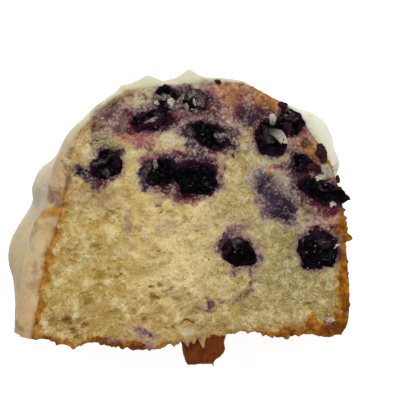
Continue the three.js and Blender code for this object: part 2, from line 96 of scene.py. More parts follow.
# Juice and baked-in colour by kind: u, h, half length, half width, turn, strength.
STAINS = {
    "ink": [
        (14.9, 45.6, 3.08, 1.01, -25, 0.9), (65.6, 41.9, 2.4, 1.8, 0, 0.85), (68, 39.9, 2.9, 1.9, -30, 0.9),
        (71.2, 36.5, 3.2, 2.3, -15, 0.9), (70.6, 34, 3, 1.7, 10, 0.95), (75.6, 47.2, 1.7, 2.2, 0, 1),
        (54.3, 26.7, 1.68, 0.73, -8, 0.85),
    ],
    "purple": [
        (21, 51.2, 3.92, 1.12, -5, 0.6), (16, 44.3, 2.24, 0.84, -25, 0.6),
        (61.3, 61.3, 1.68, 2.24, -20, 0.75), (43.2, 56.6, 1.4, 2.24, 15, 0.75),
        (44.6, 53.3, 2.52, 1.12, -10, 0.5), (56.4, 57, 2.52, 1.4, 0, 0.55),
        (73.5, 48.1, 2.52, 1.4, -10, 0.5), (65, 44.4, 2.8, 1.68, 0, 0.55), (70, 34.5, 2.24, 1.4, 0, 0.5),
        (72.3, 31.7, 3.08, 1.12, 0, 0.35), (77.6, 20.6, 1.68, 1.68, 0, 0.4),
        (54.3, 27.5, 1.68, 1.4, 0, 0.85), (56.4, 17.4, 1.12, 0.73, 0, 0.6),
        (48.6, 50.2, 2.24, 1.12, -30, 0.5), (31.3, 42.1, 1.96, 1.12, 0, 0.6),
        (76.7, 46.7, 1.96, 1.68, 0, 0.8),
    ],
    "mauve": [
        (20.1, 62.5, 4.76, 2.24, 38, 0.7), (24.9, 59.8, 2.24, 2.52, 0, 0.5),
        (23.5, 57.9, 2.24, 1.4, 0, 0.35), (43.5, 64.2, 2.8, 1.4, 0, 0.5),
        (46.9, 61.4, 3.36, 1.12, 10, 0.35), (63, 53.1, 1.96, 1.4, -40, 0.5),
        (75.8, 50.1, 2.52, 1.4, 0, 0.45), (66.5, 35.9, 2.52, 1.68, -20, 0.4),
        (76.7, 26, 1.12, 2.52, 0, 0.5), (87.3, 25.1, 0.84, 2.8, 0, 0.4), (56.1, 30.3, 1.68, 1.12, 0, 0.45),
        (64.3, 24.1, 0.7, 2.8, 0, 0.3), (63, 14.8, 0.7, 0.5, 0, 0.7), (62.4, 12.8, 0.5, 0.4, 0, 0.7),
        (61.6, 17.2, 1.2, 1, 0, 0.3), (48.3, 7.9, 2.24, 1.12, 0, 0.3), (32.2, 0.7, 1.68, 1.12, 0, 0.7),
        (29.9, 1.5, 1.68, 0.84, 0, 0.5), (33.3, -2.4, 1.96, 1.12, -10, 0.5),
        (27.7, 25.2, 1.12, 0.84, 0, 0.25), (48.6, 71, 1.68, 1.12, 0, 0.3),
        (58.4, 30.3, 2.24, 1.12, 10, 0.45),
    ],
    "wine": [
        (21, 61.2, 1.5, 1.1, 30, 0.9), (17.9, 60.2, 1.2, 0.8, 30, 0.85), (24, 58.4, 0.9, 0.7, 0, 0.8),
        (26, 62.2, 0.7, 1, 0, 0.75), (22.6, 63.8, 1.1, 0.5, 30, 0.75), (48.6, 65.1, 1.68, 2.24, 20, 0.75),
        (58.9, 63.3, 1.96, 2.52, 10, 0.75), (63, 59.6, 1.68, 1.68, 0, 0.7), (65, 64.2, 2.52, 2.52, 0, 0.6),
        (62.4, 67.2, 0.56, 0.67, 0, 0.9), (53.2, 54.5, 1.96, 1.12, 0, 0.6), (76.1, 37.6, 1.12, 1.4, 0, 0.7),
        (55.6, 28.8, 2.6, 1.5, 20, 0.5), (50.3, 9.3, 1, 1.3, 30, 0.65), (49.5, 7.4, 1.12, 0.56, 0, 0.6),
        (53.2, 9.6, 0.9, 0.45, 5, 0.55), (32.7, -0.2, 0.84, 0.67, 0, 0.7), (35.5, 37.4, 1.4, 0.56, 0, 0.5),
        (35.8, 41.8, 2.24, 0.84, -10, 0.4), (31.6, 48.2, 0.84, 2.52, 0, 0.6),
        (79.3, 45.3, 3.92, 1.68, 0, 0.95), (53.2, 27, 0.84, 0.56, 0, 0.7), (49.2, 47.2, 1.12, 2.24, 0, 0.6),
        (73.4, 57.4, 0.84, 1.4, 0, 0.8),
    ],
    "brown": [
        (19.6, 58.6, 0.7, 0.5, 0, 0.7), (58.4, 70.8, 1.4, 0.84, 0, 0.6), (62.7, 56.8, 1.4, 2.8, 10, 0.55),
        (79, 49, 2.24, 2.24, 0, 0.75), (77, 52.4, 0.84, 1.4, 0, 0.6), (70, 67.9, 2.24, 1.12, -30, 0.35),
        (30.8, 67.4, 1.68, 1.12, -20, 0.4), (26.6, 67.3, 1.96, 1.4, 10, 0.4),
        (24.3, 65.4, 1.96, 1.4, 30, 0.5), (10.4, 43.2, 1.12, 3.92, -10, 0.35),
        (26.6, 31, 1.4, 3.36, 0, 0.3), (37.2, 31, 3.36, 2.8, 0, 0.2),
    ],
    "red": [
        (27.4, 60.1, 1.4, 2.52, 10, 0.95), (27.7, 57.1, 1.4, 1.4, 0, 0.85), (32.7, 58, 5.32, 0.98, -5, 0.7),
        (38.9, 60.8, 1.68, 2.24, 0, 0.6), (41.2, 61.4, 2.8, 1.12, 15, 0.55),
        (50.6, 52.2, 3.36, 0.84, 0, 0.6), (55.8, 50.6, 0.56, 0.62, 0, 0.75),
        (53.8, 52.5, 0.84, 0.84, 0, 0.5), (69.7, 48.1, 2.52, 0.84, 12, 0.7),
        (82.3, 37.1, 4.2, 1.68, -8, 0.9), (84.3, 35.1, 3.36, 1.68, 8, 0.7),
        (83.1, 29.7, 4.2, 1.12, 8, 0.75), (79.9, 30, 2.24, 0.84, 30, 0.5), (46.3, 0.1, 0.84, 0.45, 0, 0.5),
        (16.8, 41.8, 0.45, 0.67, 0, 0.9), (17.6, 39.9, 0.39, 0.5, 0, 0.9), (18.7, 41.8, 1.68, 1.4, 0, 0.6),
        (42.9, 38.5, 2.52, 0.84, -8, 0.75), (51.2, 47.2, 0.84, 2.52, 0, 0.5),
        (41.2, 51.3, 2.8, 0.84, 10, 0.7),
    ],
    "pink": [
        (29.6, 54.9, 2.24, 2.52, -35, 0.6), (32.4, 53.2, 1.68, 1.4, 0, 0.5),
        (50.6, 68.5, 1.4, 1.96, 20, 0.5), (56.1, 64.6, 2.24, 0.84, 0, 0.35),
        (58.7, 67.2, 1.68, 2.24, 0, 0.5), (54.9, 61, 1.4, 1.12, 0, 0.5),
        (82.6, 33.4, 2.24, 1.12, -10, 0.45), (85.8, 32.5, 2.24, 1.68, 0, 0.35),
        (38.1, 13.4, 0.95, 0.73, 0, 0.6), (42.9, -2, 1.68, 1.12, 0, 0.35), (42.1, 37.4, 1.68, 0.84, 0, 0.7),
        (44.6, 37.6, 2.8, 0.84, 0, 0.5), (32.7, 49.6, 2.52, 1.12, 20, 0.6), (75.6, 58, 1.4, 1.4, 0, 0.35),
        (76.7, 54.7, 1.4, 1.96, 0, 0.35), (77.3, 56.4, 2.52, 1.96, -45, 0.25),
        (38.7, 69.7, 0.84, 0.84, 0, 0.6),
    ],
    "orange": [
        (55.2, 67.1, 1.96, 1.4, 0, 0.7), (53.5, 70.2, 1.12, 0.84, 0, 0.6),
        (63.6, 66.7, 1.12, 1.96, 10, 0.8), (67, 46.7, 1.4, 1.12, 40, 0.6),
        (79.3, 52.4, 1.96, 1.96, 0, 0.45), (82.3, 45.6, 1.4, 0.84, 20, 0.5),
        (68.5, 63.1, 1.4, 0.84, 0, 0.4), (67.6, 64.8, 1.4, 1.4, 0, 0.4), (17.1, 58.9, 1.12, 1.12, 0, 0.5),
        (25.7, 55.7, 1.4, 1.4, 0, 0.5), (79.3, 49, 2.52, 0.95, -12, 0.5),
    ],
    "honey": [(13.2, 53.9, 2.8, 3.36, 0, 0.2), (74.5, 2.2, 3.4, 1.2, 0, 0.4)],
    "garnet": [(78.4, 46.5, 4.2, 2.3, -10, 1), (70.8, 58.8, 1.9, 3, 0, 1), (78.6, 47.2, 3, 1.4, -8, 1)],
    "rust": [(22, -1, 5, 0.9, -4, 0.45), (86.5, 1.6, 3.4, 1.8, 10, 0.5), (88.6, 8, 0.9, 4, 0, 0.3)],
    "umber": [(77.6, 53.6, 1.6, 1.3, 0, 0.8)],
}
# Wide washes of colour under the stains, written as these are.
WASHES = {
    "mauve": [
        (23, 60.5, 7, 3.6, 42, 0.55), (43, 63.5, 13, 2.6, 0, 0.45), (56.5, 59.5, 5, 2.4, 0, 0.35),
        (79.5, 31.5, 5, 2, 10, 0.45), (56.4, 27.6, 4.6, 2.4, 10, 0.5), (62, 19.2, 3, 3, 60, 0.25),
        (31.5, 0.5, 5, 1.8, 4, 0.3),
    ],
    "pink": [(30.5, 57, 5, 3, -20, 0.4), (37, 52, 7, 1.4, 8, 0.2)],
    "wine": [
        (50.5, 64, 3, 5, 10, 0.6), (66, 61.5, 3, 3, 0, 0.6), (76, 47, 5, 2.8, 0, 0.6),
        (83, 35.6, 6, 2.4, 0, 0.7), (54.8, 24.5, 3.4, 2.8, 0, 0.4), (39.5, 39.8, 7, 2.2, -14, 0.5),
    ],
    "blush": [(58, 65.5, 8, 4.5, -15, 0.55), (76.5, 56.5, 3.4, 4.8, -25, 0.5)],
    "orange": [(57, 69, 6, 2.2, -8, 0.45), (66.5, 66, 4.5, 2.6, -35, 0.5), (78.5, 50.5, 3.2, 4, 0, 0.55)],
    "purple": [
        (61.5, 62, 4, 3.5, 0, 0.7), (31.4, 45.2, 2, 4, 0, 0.5), (16, 45, 4.4, 1.7, -24, 0.75),
        (47.5, 50.3, 6, 1.6, -18, 0.5),
    ],
    "lilac": [(68.2, 38.6, 8.2, 5, -58, 0.9)],
    "ash": [(70.5, 42.5, 4.4, 5, -30, 0.4), (63.6, 44.8, 3.4, 2.4, 0, 0.45)],
    "red": [(52.6, 45.5, 1.8, 5, 6, 0.5)],
    "olive": [
        (18.2, 57, 2.2, 4.4, 0, 0.6), (18, 38, 9, 3.4, -4, 0.24), (60, 33, 12, 2.6, 0, 0.2),
        (22, 53, 3, 1.6, -30, 0.6), (60.3, 11.8, 4.6, 1.5, 50, 0.85),
    ],
}
STAIN_TINTS = {
    "purple": (52, 40, 60), "wine": (78, 34, 48), "red": (92, 26, 44), "pink": (160, 96, 92),
    "mauve": (128, 98, 94), "orange": (178, 118, 62), "brown": (104, 70, 38), "blush": (150, 98, 84),
    "olive": (132, 112, 54), "lilac": (76, 60, 80), "ash": (158, 146, 130), "ink": (24, 18, 34),
    "garnet": (46, 10, 12), "dull": (178, 168, 160), "shade": (140, 124, 96), "tan": (182, 152, 112),
    "dusky": (136, 104, 88), "umber": (76, 46, 28), "amber": (168, 106, 10), "peach": (196, 162, 116),
    "milk": (206, 186, 150), "cream": (204, 184, 134), "honey": (168, 124, 56), "rust": (96, 46, 14),
}
# Where crust, crumbs and shade show in the icing near the cut, written as the stains are. The shade spots
# are painted shade, and the grey dull spot is partly painted shade.
ICING_SPOTS = {
    "dull": [(2.2, 42, 3.08, 4.76, 0, 0.85)],
    "shade": [
        (0.3, 34.9, 2.24, 2.8, -20, 0.6), (0.7, 29.7, 0.84, 2.8, -22, 0.65),
        (1.6, 31.9, 0.84, 1.68, -20, 0.5),
    ],
    "tan": [
        (6.6, 48.1, 2.8, 2.52, 30, 0.45), (6.9, 43.1, 2.52, 3.92, 0, 0.4), (30.2, 67.7, 1.4, 0.56, 10, 0.7),
        (32.7, 68.2, 1.4, 0.56, 0, 0.35),
    ],
    "dusky": [
        (6.3, 39, 1.96, 1.68, 0, 0.7), (0.8, 19.6, 1.01, 2.24, 15, 0.7), (1.1, 15.2, 1.12, 1.01, 0, 0.65),
        (0.5, 13, 0.84, 0.84, 0, 0.4),
    ],
    "umber": [
        (8.5, 48.9, 0.45, 0.39, 0, 0.95), (5.9, 47.3, 0.39, 0.34, 0, 0.9), (8.8, 47, 0.42, 0.28, 0, 0.8),
        (5.9, 38.7, 0.56, 1.12, 0, 0.85), (9.9, 49.8, 0.34, 0.28, 0, 0.8), (7.7, 40.1, 0.45, 0.62, 0, 0.7),
        (5.2, 42, 0.39, 0.73, 0, 0.6), (6, 40.6, 1.3, 2, 10, 0.5), (10.6, 46.6, 0.34, 0.5, 0, 0.8),
        (10.2, 43.4, 0.5, 0.34, 0, 0.7), (7.6, 33.8, 1.4, 1.2, 0, 0.6), (-4.4, 4.8, 0.56, 0.73, 0, 0.6),
    ],
    "wine": [(6.3, 40.7, 0.84, 0.45, 20, 0.85)],
    "pink": [
        (7.7, 41.5, 0.67, 0.34, 30, 0.8), (7.1, 44.8, 0.84, 0.56, 0, 0.5),
        (82.3, 52.4, 0.45, 0.45, 0, 0.35), (85.5, 47.9, 0.39, 0.39, 0, 0.6),
        (84.6, 46.2, 0.84, 0.84, 0, 0.3), (79.3, 62.1, 0.67, 0.45, 0, 0.25),
    ],
    "amber": [
        (5.2, 34.5, 2.8, 1.3, 14, 1), (8, 35.4, 1.9, 1.2, -10, 1), (3.6, 33.7, 1.3, 0.9, 30, 0.95),
        (8.8, 32.1, 0.73, 3.36, 0, 0.7), (4.4, 23.9, 1.12, 1.68, 0, 0.6), (1.6, 4.2, 1.12, 2.24, 0, 0.6),
        (2.7, 13.5, 1.12, 1.68, 0, 0.55),
    ],
    "peach": [(4.1, 30.2, 2.8, 2.8, 40, 0.75), (-1.6, 7.5, 2.8, 5.04, 0, 0.45)],
    "milk": [(5.5, 28.3, 1.12, 0.84, 0, 0.5), (0.3, 9.7, 1.12, 2.52, 0, 0.35)],
    "cream": [(-3.3, 23.4, 2.52, 3.92, 0, 0.6), (-1.6, 21.2, 1.4, 1.96, 0, 0.45)],
    "honey": [
        (-3.8, 19.6, 0.73, 0.67, 0, 0.75), (-0.5, 14.4, 1.26, 0.9, 0, 0.7), (-3.5, 3.2, 0.95, 1.12, 0, 0.8),
        (28.2, 67.4, 0.84, 0.39, 30, 0.6),
    ],
}
# Crumb that is soaked in icing: u, h, half length, half width, turn, strength.
PALE_SPOTS = [
    (19.6, 56.7, 1.68, 1.26, -20, 0.75), (19.6, 54, 1.68, 1.4, 0, 0.6), (38.4, 55.2, 3.9, 1.9, 0, 0.55),
    (46.3, 53.9, 2.52, 1.68, 0, 0.5), (51.8, 61.8, 2.24, 1.68, 0, 0.35), (54.9, 63.8, 1.96, 1.12, 0, 0.7),
    (40.6, 65, 1.96, 1.68, 20, 0.8), (42.9, 66.4, 1.4, 1.12, 0, 0.5), (29.1, 63.5, 1.68, 1.12, 30, 0.6),
    (29.9, 65.4, 2.24, 1.4, 20, 0.4), (44.1, 64.5, 1.4, 0.84, 0, 0.6), (60.7, 64.1, 0.67, 1.68, 0, 0.6),
    (54.1, 55.6, 1.68, 1.12, 0, 0.6), (39.2, 53.3, 2.52, 1.12, 0, 0.35), (70.2, 43.3, 3.64, 2.24, -20, 0.4),
    (74.6, 41, 2.52, 2.52, 0, 0.5), (67, 48.1, 3.36, 1.96, 0, 0.3), (82.3, 34.2, 1.12, 0.84, 0, 0.4),
    (61.8, 21.3, 1.68, 1.12, 0, 0.3), (75.8, 31.1, 4.48, 2.24, 0, 0.35), (84.6, 4.2, 1.3, 0.8, -35, 0.6),
    (73.2, 1.4, 1.4, 1.12, 0, 0.7), (64.7, 1.2, 1.4, 0.84, 0, 0.7), (60.1, 1.9, 1.68, 0.84, 0, 0.5),
    (43.5, 1.3, 2.24, 1.12, 0, 0.6), (10.4, 49.8, 1.4, 2.24, 0, 0.3), (7.1, 44.2, 1.12, 2.24, 0, 0.4),
    (16, 50.1, 2.24, 1.12, 0, 0.5), (29.1, 48.5, 1.12, 1.12, 0, 0.4),
]
# How the crust shows on the face: along the outline, its width, how strongly it is browned.
CRUST_AT_CUT = [
    (0, 2.2, 0.75), (5, 2.7, 0.8), (10, 2.5, 0.75), (13, 1.2, 0.5), (17, 2.1, 0.7), (22, 2.2, 0.75),
    (26, 1.5, 0.55), (29, 1.8, 0.7), (33, 1.2, 0.55), (37, 1.5, 0.65), (42, 1, 0.4), (46, 0.9, 0.4),
    (52, 0.8, 0.2), (66, 0.8, 0.2), (80, 0.5, 0.1), (98, 0.6, 0.15), (106, 1, 0.5), (112, 1.2, 0.75),
    (122, 1.1, 0.6), (135, 1.2, 0.5), (146, 1.5, 0.6), (154, 2.6, 0.85), (160, 3.8, 1), (168, 4, 1),
    (174, 2.8, 0.95), (180, 3.4, 1), (187, 4.6, 1), (193, 5, 1), (198, 4.8, 1), (205, 4, 1), (210, 3.2, 1),
    (215, 1.8, 0.75), (221, 1, 0.4), (230, 0.7, 0.2), (240, 0.8, 0.3), (246, 0.9, 0.6), (252, 1.7, 1),
    (260, 1.7, 0.95), (268, 1.5, 0.85), (276, 1.3, 0.8), (283, 1.3, 0.85),
]
# Crumbs that stand out of the crust: along the outline, behind the face, half size, height.
CRUST_CRUMBS = [
    (151.5, 0.6, 0.8, 0.9), (153.4, 0.5, 0.8, 0.9), (157.6, 0.5, 0.6, 0.8), (159.8, 0.6, 0.7, 0.9),
    (161.6, 0.8, 1.7, 0.8), (163.7, 0.8, 1.5, 0.9), (165.9, 0.7, 1.3, 2.2), (166.5, 0.5, 0.7, 1.9),
    (242.6, 0.5, 0.9, 1.3), (241.4, 0.5, 0.6, 1), (234.6, 0.5, 0.9, 2.9), (237, 0.4, 0.7, 1),
    (239, 0.5, 0.8, 1.3), (232.2, 0.4, 0.6, 0.9), (209.6, 0.8, 1, 1), (216.5, 0.6, 0.8, 0.8),
    (221, 0.8, 1, 0.7), (257, 0.6, 0.9, 0.7), (263, 0.5, 0.7, 0.6), (271, 0.6, 0.9, 0.8),
    (275.5, 0.7, 0.7, 0.7), (206, 1, 1.2, 0.5),
]

# ---- The icing, with the numbers of its solid ----
ICING_AT_CUT = [
    (0, 3.2), (3.5, 4.9), (14, 4.8), (30, 5.6), (40, 4.4), (48, 4.2), (54, 3.2), (64, 2.1), (72, 2.1),
    (77, 2.8), (82, 3.6), (88, 0.9), (94, 3.3), (99, 1.4), (108, 1), (118, 1), (123, 1.4), (126, 1.7),
    (130, 3), (134, 3.4),
]
ICING_BEHIND = [
    (0, 3.2), (14, 3.4), (25, 4.4), (42, 3.6), (52, 2.2), (66, 1.8), (100, 1.8), (112, 1.2), (122, 1.2),
    (134, 3.2),
]
ICING_BLEND = 9
ICING_LEAST = 0.5
BEAD_WIDTH = 3.4
ICING_SUNK = 0.5  # its thin edge ends this deep in the crust
ICING_UNDER = 0.45  # its underside is at least this deep
ICING_EDGE_DEPTH = 0.3  # from top to underside at the thin edge
ICING_FLOOR_GAP = 0.5
ICING_SHORT = 0.02  # how far it ends before the lower cut face
OUTER_EDGE = 34
INNER_EDGE = 143
# Drips down the walls: middle behind the face, half width, how far they run.
OUTER_DRIPS = [(6, 19, 42), (37, 6.5, 24)]
INNER_DRIPS = [(7, 8, 5)]
# Swells of the icing: along, behind, length, width, height.
ICING_SWELLS = [
    (134, 7, 8.5, 7, 3.8), (94.3, 0, 1.4, 4, 0.9), (75.4, 0, 1.3, 3, 0.7), (82.6, 0, 1.2, 3, 0.35),
    (41.5, 14, 3.6, 12, 1.4), (18, 20, 9, 14, 2.5), (3, 15, 4, 12, 0.8), (16, 37, 6, 5, 1.2),
]
# The bare patch beside the cut, written as the swells are, and how much of it is bare.
BARE_LENGTH = 6.4
BARE_PATCH = (116.8, 0, BARE_LENGTH, 14)
BARE_LEVEL = 0.45
ICING_STEP = 0.42
ICING_END = 156
ICING_CUT_ROWS = 14
ICING_WALL_ROWS = 62
ICING_CROWDING = 1.35
ICING_FOOT_COLUMNS = 8  # they close the icing under its foot
CUT_ROUNDING = 3.6
ALONG_FULL, BEHIND_FULL = 150, 50  # where the finish's marks along and behind are 1

# ---- The blueberries ----
BERRY_LUMPS = {"height": 0.13, "rate": 1.6, "layer": 5}
BERRY_WRINKLES = {"height": 0.07, "rate": 2.3}
BERRY_APART = 9  # from one berry's part of the noise to the next one's
BERRY_CUT_LEVEL = 0.2
BERRY_CUT_KEEP = 0.14
BERRY_KEYS = ("name", "at", "size", "turn", "sunk", "juice", "flecked", "tip")
BERRIES = [dict(zip(BERRY_KEYS, row)) for row in [
    ("berry_crown_outer", (37.5, 66.6), (3.4, 3.5, 3.6), 20, 0.8, 0.6, 0.8, 0),
    ("berry_crown_inner", (44.4, 66.6), (4.5, 3.5, 3.8), -10, 0.9, 0.6, 1, 0),
    ("berry_crown_under", (33.3, 60.6), (6.3, 3, 4), 12, 1.2, 0.9, 0.4, 0),
    ("berry_ridge", (49.3, 56.2), (7.2, 3.4, 4.2), -16, 1.3, 0.8, 0.6, 0),
    ("berry_large_inner", (45.4, 44.3), (6.7, 5.3, 5.6), -14, 1.4, 0.8, 0.12, 0),
    ("berry_large_outer", (36, 46.2), (5.4, 4.3, 4.6), 6, 1.4, 0.7, 0.22, 0),
    ("berry_outer_wall", (20.4, 48), (5, 4.1, 4.4), 58, 1.2, 0.6, 0.3, 0),
    ("berry_shoulder", (67.6, 55.8), (5, 5.2, 5.2), 0, 1, 0.55, 0.1, 0),
    ("berry_shoulder_rim", (73, 60.6), (3.4, 4.3, 4), 38, 1.4, 0.7, 0.6, 0),
    ("berry_tube_speck", (76.4, 48.8), (3.3, 2.2, 3), -40, 1.2, 0.8, 0.3, 0),
    ("berry_tube_wall", (82.6, 40.6), (7.6, 3.4, 4.6), -14, 0.9, 0.8, 0.06, 0.5),
    ("berry_low_tube", (81.4, 24), (5.7, 5.6, 5.6), 0, 1, 0.45, 0.5, 0),
    ("berry_low_middle", (58.2, 23.2), (5.4, 3.9, 4.8), -20, 1.3, 0.55, 0.3, 0),
]]
# Where thin skin and milky juice veil the black flesh, and where grey patches are painted highlights, on
# the crown and along the tube wall: u, h, half length, half width, turn, strength.
BERRY_SMEARS = [
    (43.4, 57.2, 1.2, 1.5, 0, 0.5), (53.8, 56, 2.6, 1, -8, 0.75), (33, 60.7, 1.8, 0.7, 20, 0.8),
    (43, 67.4, 2.4, 1.2, 0, 0.6), (46.4, 66.8, 1.4, 1.8, 20, 0.6), (34.7, 65, 0.8, 1, 0, 0.45),
    (39.2, 65.2, 1.6, 1.4, 0, 0.75), (18.6, 48.8, 2, 1.2, 30, 0.5), (21.6, 45.6, 1.6, 0.9, -30, 0.45),
    (22, 50.6, 1.5, 0.8, 20, 0.35), (32, 45.6, 1.2, 2.6, 0, 0.5), (34.2, 47.8, 0.7, 1.1, 20, 0.6),
    (66.6, 56.8, 1.6, 1.8, 0, 0.3), (72.4, 62.4, 1.8, 1, 40, 0.4), (87.6, 41.6, 1.5, 0.5, -20, 0.4),
    (83, 42.4, 2.2, 0.5, -14, 0.3), (82.4, 26.6, 2.4, 1.2, 0, 0.25), (35.2, 62.2, 1.6, 0.6, 0, 0.3),
    (59.5, 27.5, 2.6, 0.9, -22, 0.95), (54.3, 28.1, 0.9, 0.9, 0, 0.6), (57.2, 26, 1.8, 0.7, -20, 0.6),
    (43.4, 69, 3.4, 1.3, 4, 0.9), (74.4, 60.8, 0.84, 0.8, 0, 0.35), (67, 55.2, 1.12, 0.84, 0, 0.35),
]
# Where purple-red juice colours the flesh, written as the smears are.
BERRY_JUICE = [
    (33, 60.4, 5, 2.2, 12, 0.85), (43.6, 57.4, 1.6, 1.6, 0, 0.8), (54.9, 53.4, 1.8, 1, -16, 0.8),
    (48.6, 49.2, 3.6, 1.1, -14, 0.8), (51.4, 46.4, 1, 2.4, 0, 0.85), (32, 43, 1.6, 2.2, 0, 0.8),
    (40, 41, 2.8, 0.9, -20, 0.7), (55.4, 26.4, 2.2, 1.5, 40, 0.95), (54, 23.6, 1.3, 1.4, 0, 0.85),
    (61, 26.2, 2, 0.8, -20, 0.7), (82.4, 37.4, 3, 1, -10, 0.85), (16.4, 46.4, 1.6, 1.2, 0, 0.7),
    (23.4, 49.8, 1.2, 2, 0, 0.75), (81.1, 28.8, 3.6, 1.2, 0, 0.8), (73.8, 61.8, 2, 1.8, 0, 0.8),
    (67, 51.6, 3, 1.2, 0, 0.7), (72.4, 58.8, 1.2, 1.8, 0, 0.8), (77.4, 48.4, 1.6, 1.4, 0, 0.7),
]

# ---- Crumbs strewn over the face, in millimetres but for their flatness ----
STREWN_SIZES = ("Spacing", "Smallest", "Largest", "Flatness", "Crumbling", "Crumble Size", "Sunk")
COARSE_CRUMBS, FINE_CRUMBS, BERRY_FLECKS = (dict(zip(STREWN_SIZES, sizes)) for sizes in (
    (1.5, 0.25, 0.7, 0.55, 1.3, 0.7, 0.1),
    (0.68, 0.12, 0.34, 0.7, 0.6, 0.4, 0.02),
    (0.62, 0.1, 0.34, 0.6, 0.7, 0.4, 0.03),
))

# ---- Scraps: the tab of crust under the foot, the sliver beside it ----
TAB_OUTLINE = [
    (41.5, 2), (42.3, -2.7), (42.6, -4.3), (43.1, -6), (43.8, -7.8), (44.9, -8.3), (50.5, -8.1),
    (51.4, -8.7), (51.7, -7.2), (53.4, -6), (54.6, -4.4), (54.3, -1.8), (54.2, 2.2),
]
TAB = {"thickness": 2.4, "below": 3.6, "lean": 0.16, "curl": 0.35}
SLIVER_OUTLINE = [(26.2, -2.4), (28.2, -3.7), (32.4, -3.5), (36, -3.2), (37, -1), (27.6, -0.6)]
SLIVER = {"thickness": 3, "below": 3.4, "lean": 0, "curl": 0.1}
SCRAP_DIVISIONS, SCRAP_STEP, SCRAP_SEED = 14, 0.33, 9

# Small lumps that lie on the face: u, h, lift, half length, half width, thickness, turn.
# Pale crumbs; the last three, on the crown berries, stand in for their wet white glints as painted
# highlights.
PALE_LUMPS = [
    (84.6, 4.2, 0.4, 1.2, 0.7, 0.5, -35), (85.3, 37.1, 0.7, 0.9, 0.6, 0.5, 10),
    (86.4, 25.2, 1.2, 1, 0.25, 0.3, 25), (38.7, 65.3, 0.5, 1.2, 0.9, 0.4, -60),
    (34.6, 65.2, 0.4, 0.5, 0.7, 0.35, 20), (45.2, 65.5, 0.5, 0.35, 0.9, 0.35, 15),
]
ICING_CRUMBS = [(84.0, 46.6, 0.0, 2.6, 1.3, 0.7, -66), (82.0, 44.6, 0.1, 2.0, 0.8, 0.6, 8)]
OLIVE_LUMPS = [
    (18.8, 56.2, 0.1, 2.1, 1.2, 0.5, -20), (21.2, 54, 0.1, 1.5, 1, 0.45, -35),
    (18, 53.2, 0, 1.6, 0.9, 0.45, 20), (21.6, 57, 0, 1, 0.8, 0.4, 60),
]
# Both shoulder lumps are graded from dark teal to pale along their length: a painted gradient of shade and
# highlight on a glossy lump, over juice colour.
SHOULDER_LUMPS = [(67.9, 60.6, 0.4, 2.1, 1.15, 0.6, 94), (69.4, 56.5, 0.4, 3.3, 1.5, 0.8, -42)]
GREY_FLAKES = [
    (41, 66.2, 0.45, 1.5, 1.1, 0.5, 20), (42.6, 64.4, 0.35, 1.3, 0.8, 0.4, -30),
    (39.4, 64.2, 0.35, 1, 0.8, 0.4, 0), (44.6, 67.9, 0.45, 1.2, 0.7, 0.35, 40),
    (46.9, 65.2, 0.4, 0.7, 1.2, 0.35, 10), (32.9, 60.8, 0.7, 1.7, 0.45, 0.3, 24),
    (34.3, 48, 0.4, 0.6, 1.1, 0.4, 10), (52.4, 56.5, 0.4, 1.6, 0.7, 0.35, -10),
    (55, 55.4, 0.35, 1.1, 0.6, 0.3, -20), (60.4, 63.6, 0.3, 0.4, 1.4, 0.4, 0),
    (34.6, 66.7, 0.4, 0.6, 0.8, 0.3, 0), (72, 62.6, 0.3, 1, 0.6, 0.3, 30),
    (36.8, 66.8, 0.45, 1, 0.7, 0.35, -20), (45.6, 63.4, 0.4, 0.9, 0.5, 0.35, 20),
]
DARK_FLAKES = [
    (72.6, 58.6, 0.3, 0.8, 1.4, 0.5, 10), (79.8, 47.6, 0.3, 2, 1, 0.5, -14),
    (81.5, 52, 1, 1.5, 1.9, 0.4, 20), (82.4, 50, 0.8, 0.9, 1.3, 0.4, -25),
    (70.6, 64.8, 0.6, 1.3, 0.9, 0.6, -20), (52, 71.5, 0.4, 0.9, 0.55, 0.5, -15),
    (87.2, 44.1, -0.3, 0.6, 1.1, 0.5, 10),
]
# Groups of them: piece, slot, lumps, how jagged; finish, dark and light tones, roughness, how graded.
LUMP_GROUPS = [
    # The pale crumbs' tone also serves as the painted highlights on the crown berries.
    ("pale_crumbs", "crumb", PALE_LUMPS, 0.6, "soaked_crumbs", (136, 122, 112), (190, 180, 166), 0.7, 0),
    ("olive_crumbs", "crumb", OLIVE_LUMPS, 0.3, "olive_crumb", (112, 100, 68), (160, 150, 116), 0.8, 0),
    ("icing_crumbs", "icing", ICING_CRUMBS, 0.3,
     "icing_beside_berry", (140, 128, 112), (180, 172, 154), 0.6, 0),
    # The shoulder lumps' grading is painted shade and highlight.
    ("shoulder_lumps", "icing", SHOULDER_LUMPS, 0.14,
     "juice_veiled_icing", (38, 44, 42), (180, 168, 154), 0.5, 0.5),
    ("grey_flakes", "crumb", GREY_FLAKES, 0.8,
     "juice_greyed_crumbs", (34, 24, 30), (146, 126, 118), 0.7, 0),
    ("dark_flakes", "blueberry", DARK_FLAKES, 0.4,
     "berry_skin_flakes", (24, 5, 8), (58, 14, 16), 0.45, 0),
]

# How spots are shown: how far their edges stray, and, in their own size, where they end and are full.
PITS, FURROWS = (HOLLOWS, 1.3, 1.4, 0.2), (GROOVES, 0.6, 1.3, 0.2)
FURROW_FLOORS = ([(*oval, 1) for *oval, _ in GROOVES], 0.6, 1.2, 0.7)
SOAKED_PALE = (PALE_SPOTS, 1.2, 1.3, 0.5)
SMEARS, JUICE = (BERRY_SMEARS, 1.6, 1.4, 0.3), (BERRY_JUICE, 1.6, 1.4, 0.3)
CRUMB_COLOURING = [(WASHES, 1.6, 1.5, 0.2), (STAINS, 1.0, 1.55, 0.52)]
ICING_COLOURING = [(STAINS, 1.0, 1.55, 0.52), (ICING_SPOTS, 0.7, 1.4, 0.5)]


# ---- Numbers that vary smoothly ----

# Large numbers that stir the three numbers of a lattice's corner into one.
STIRRED_BY = (73856093, 19349663, 83492791)
STIRRED_AGAIN_BY = 1274126177
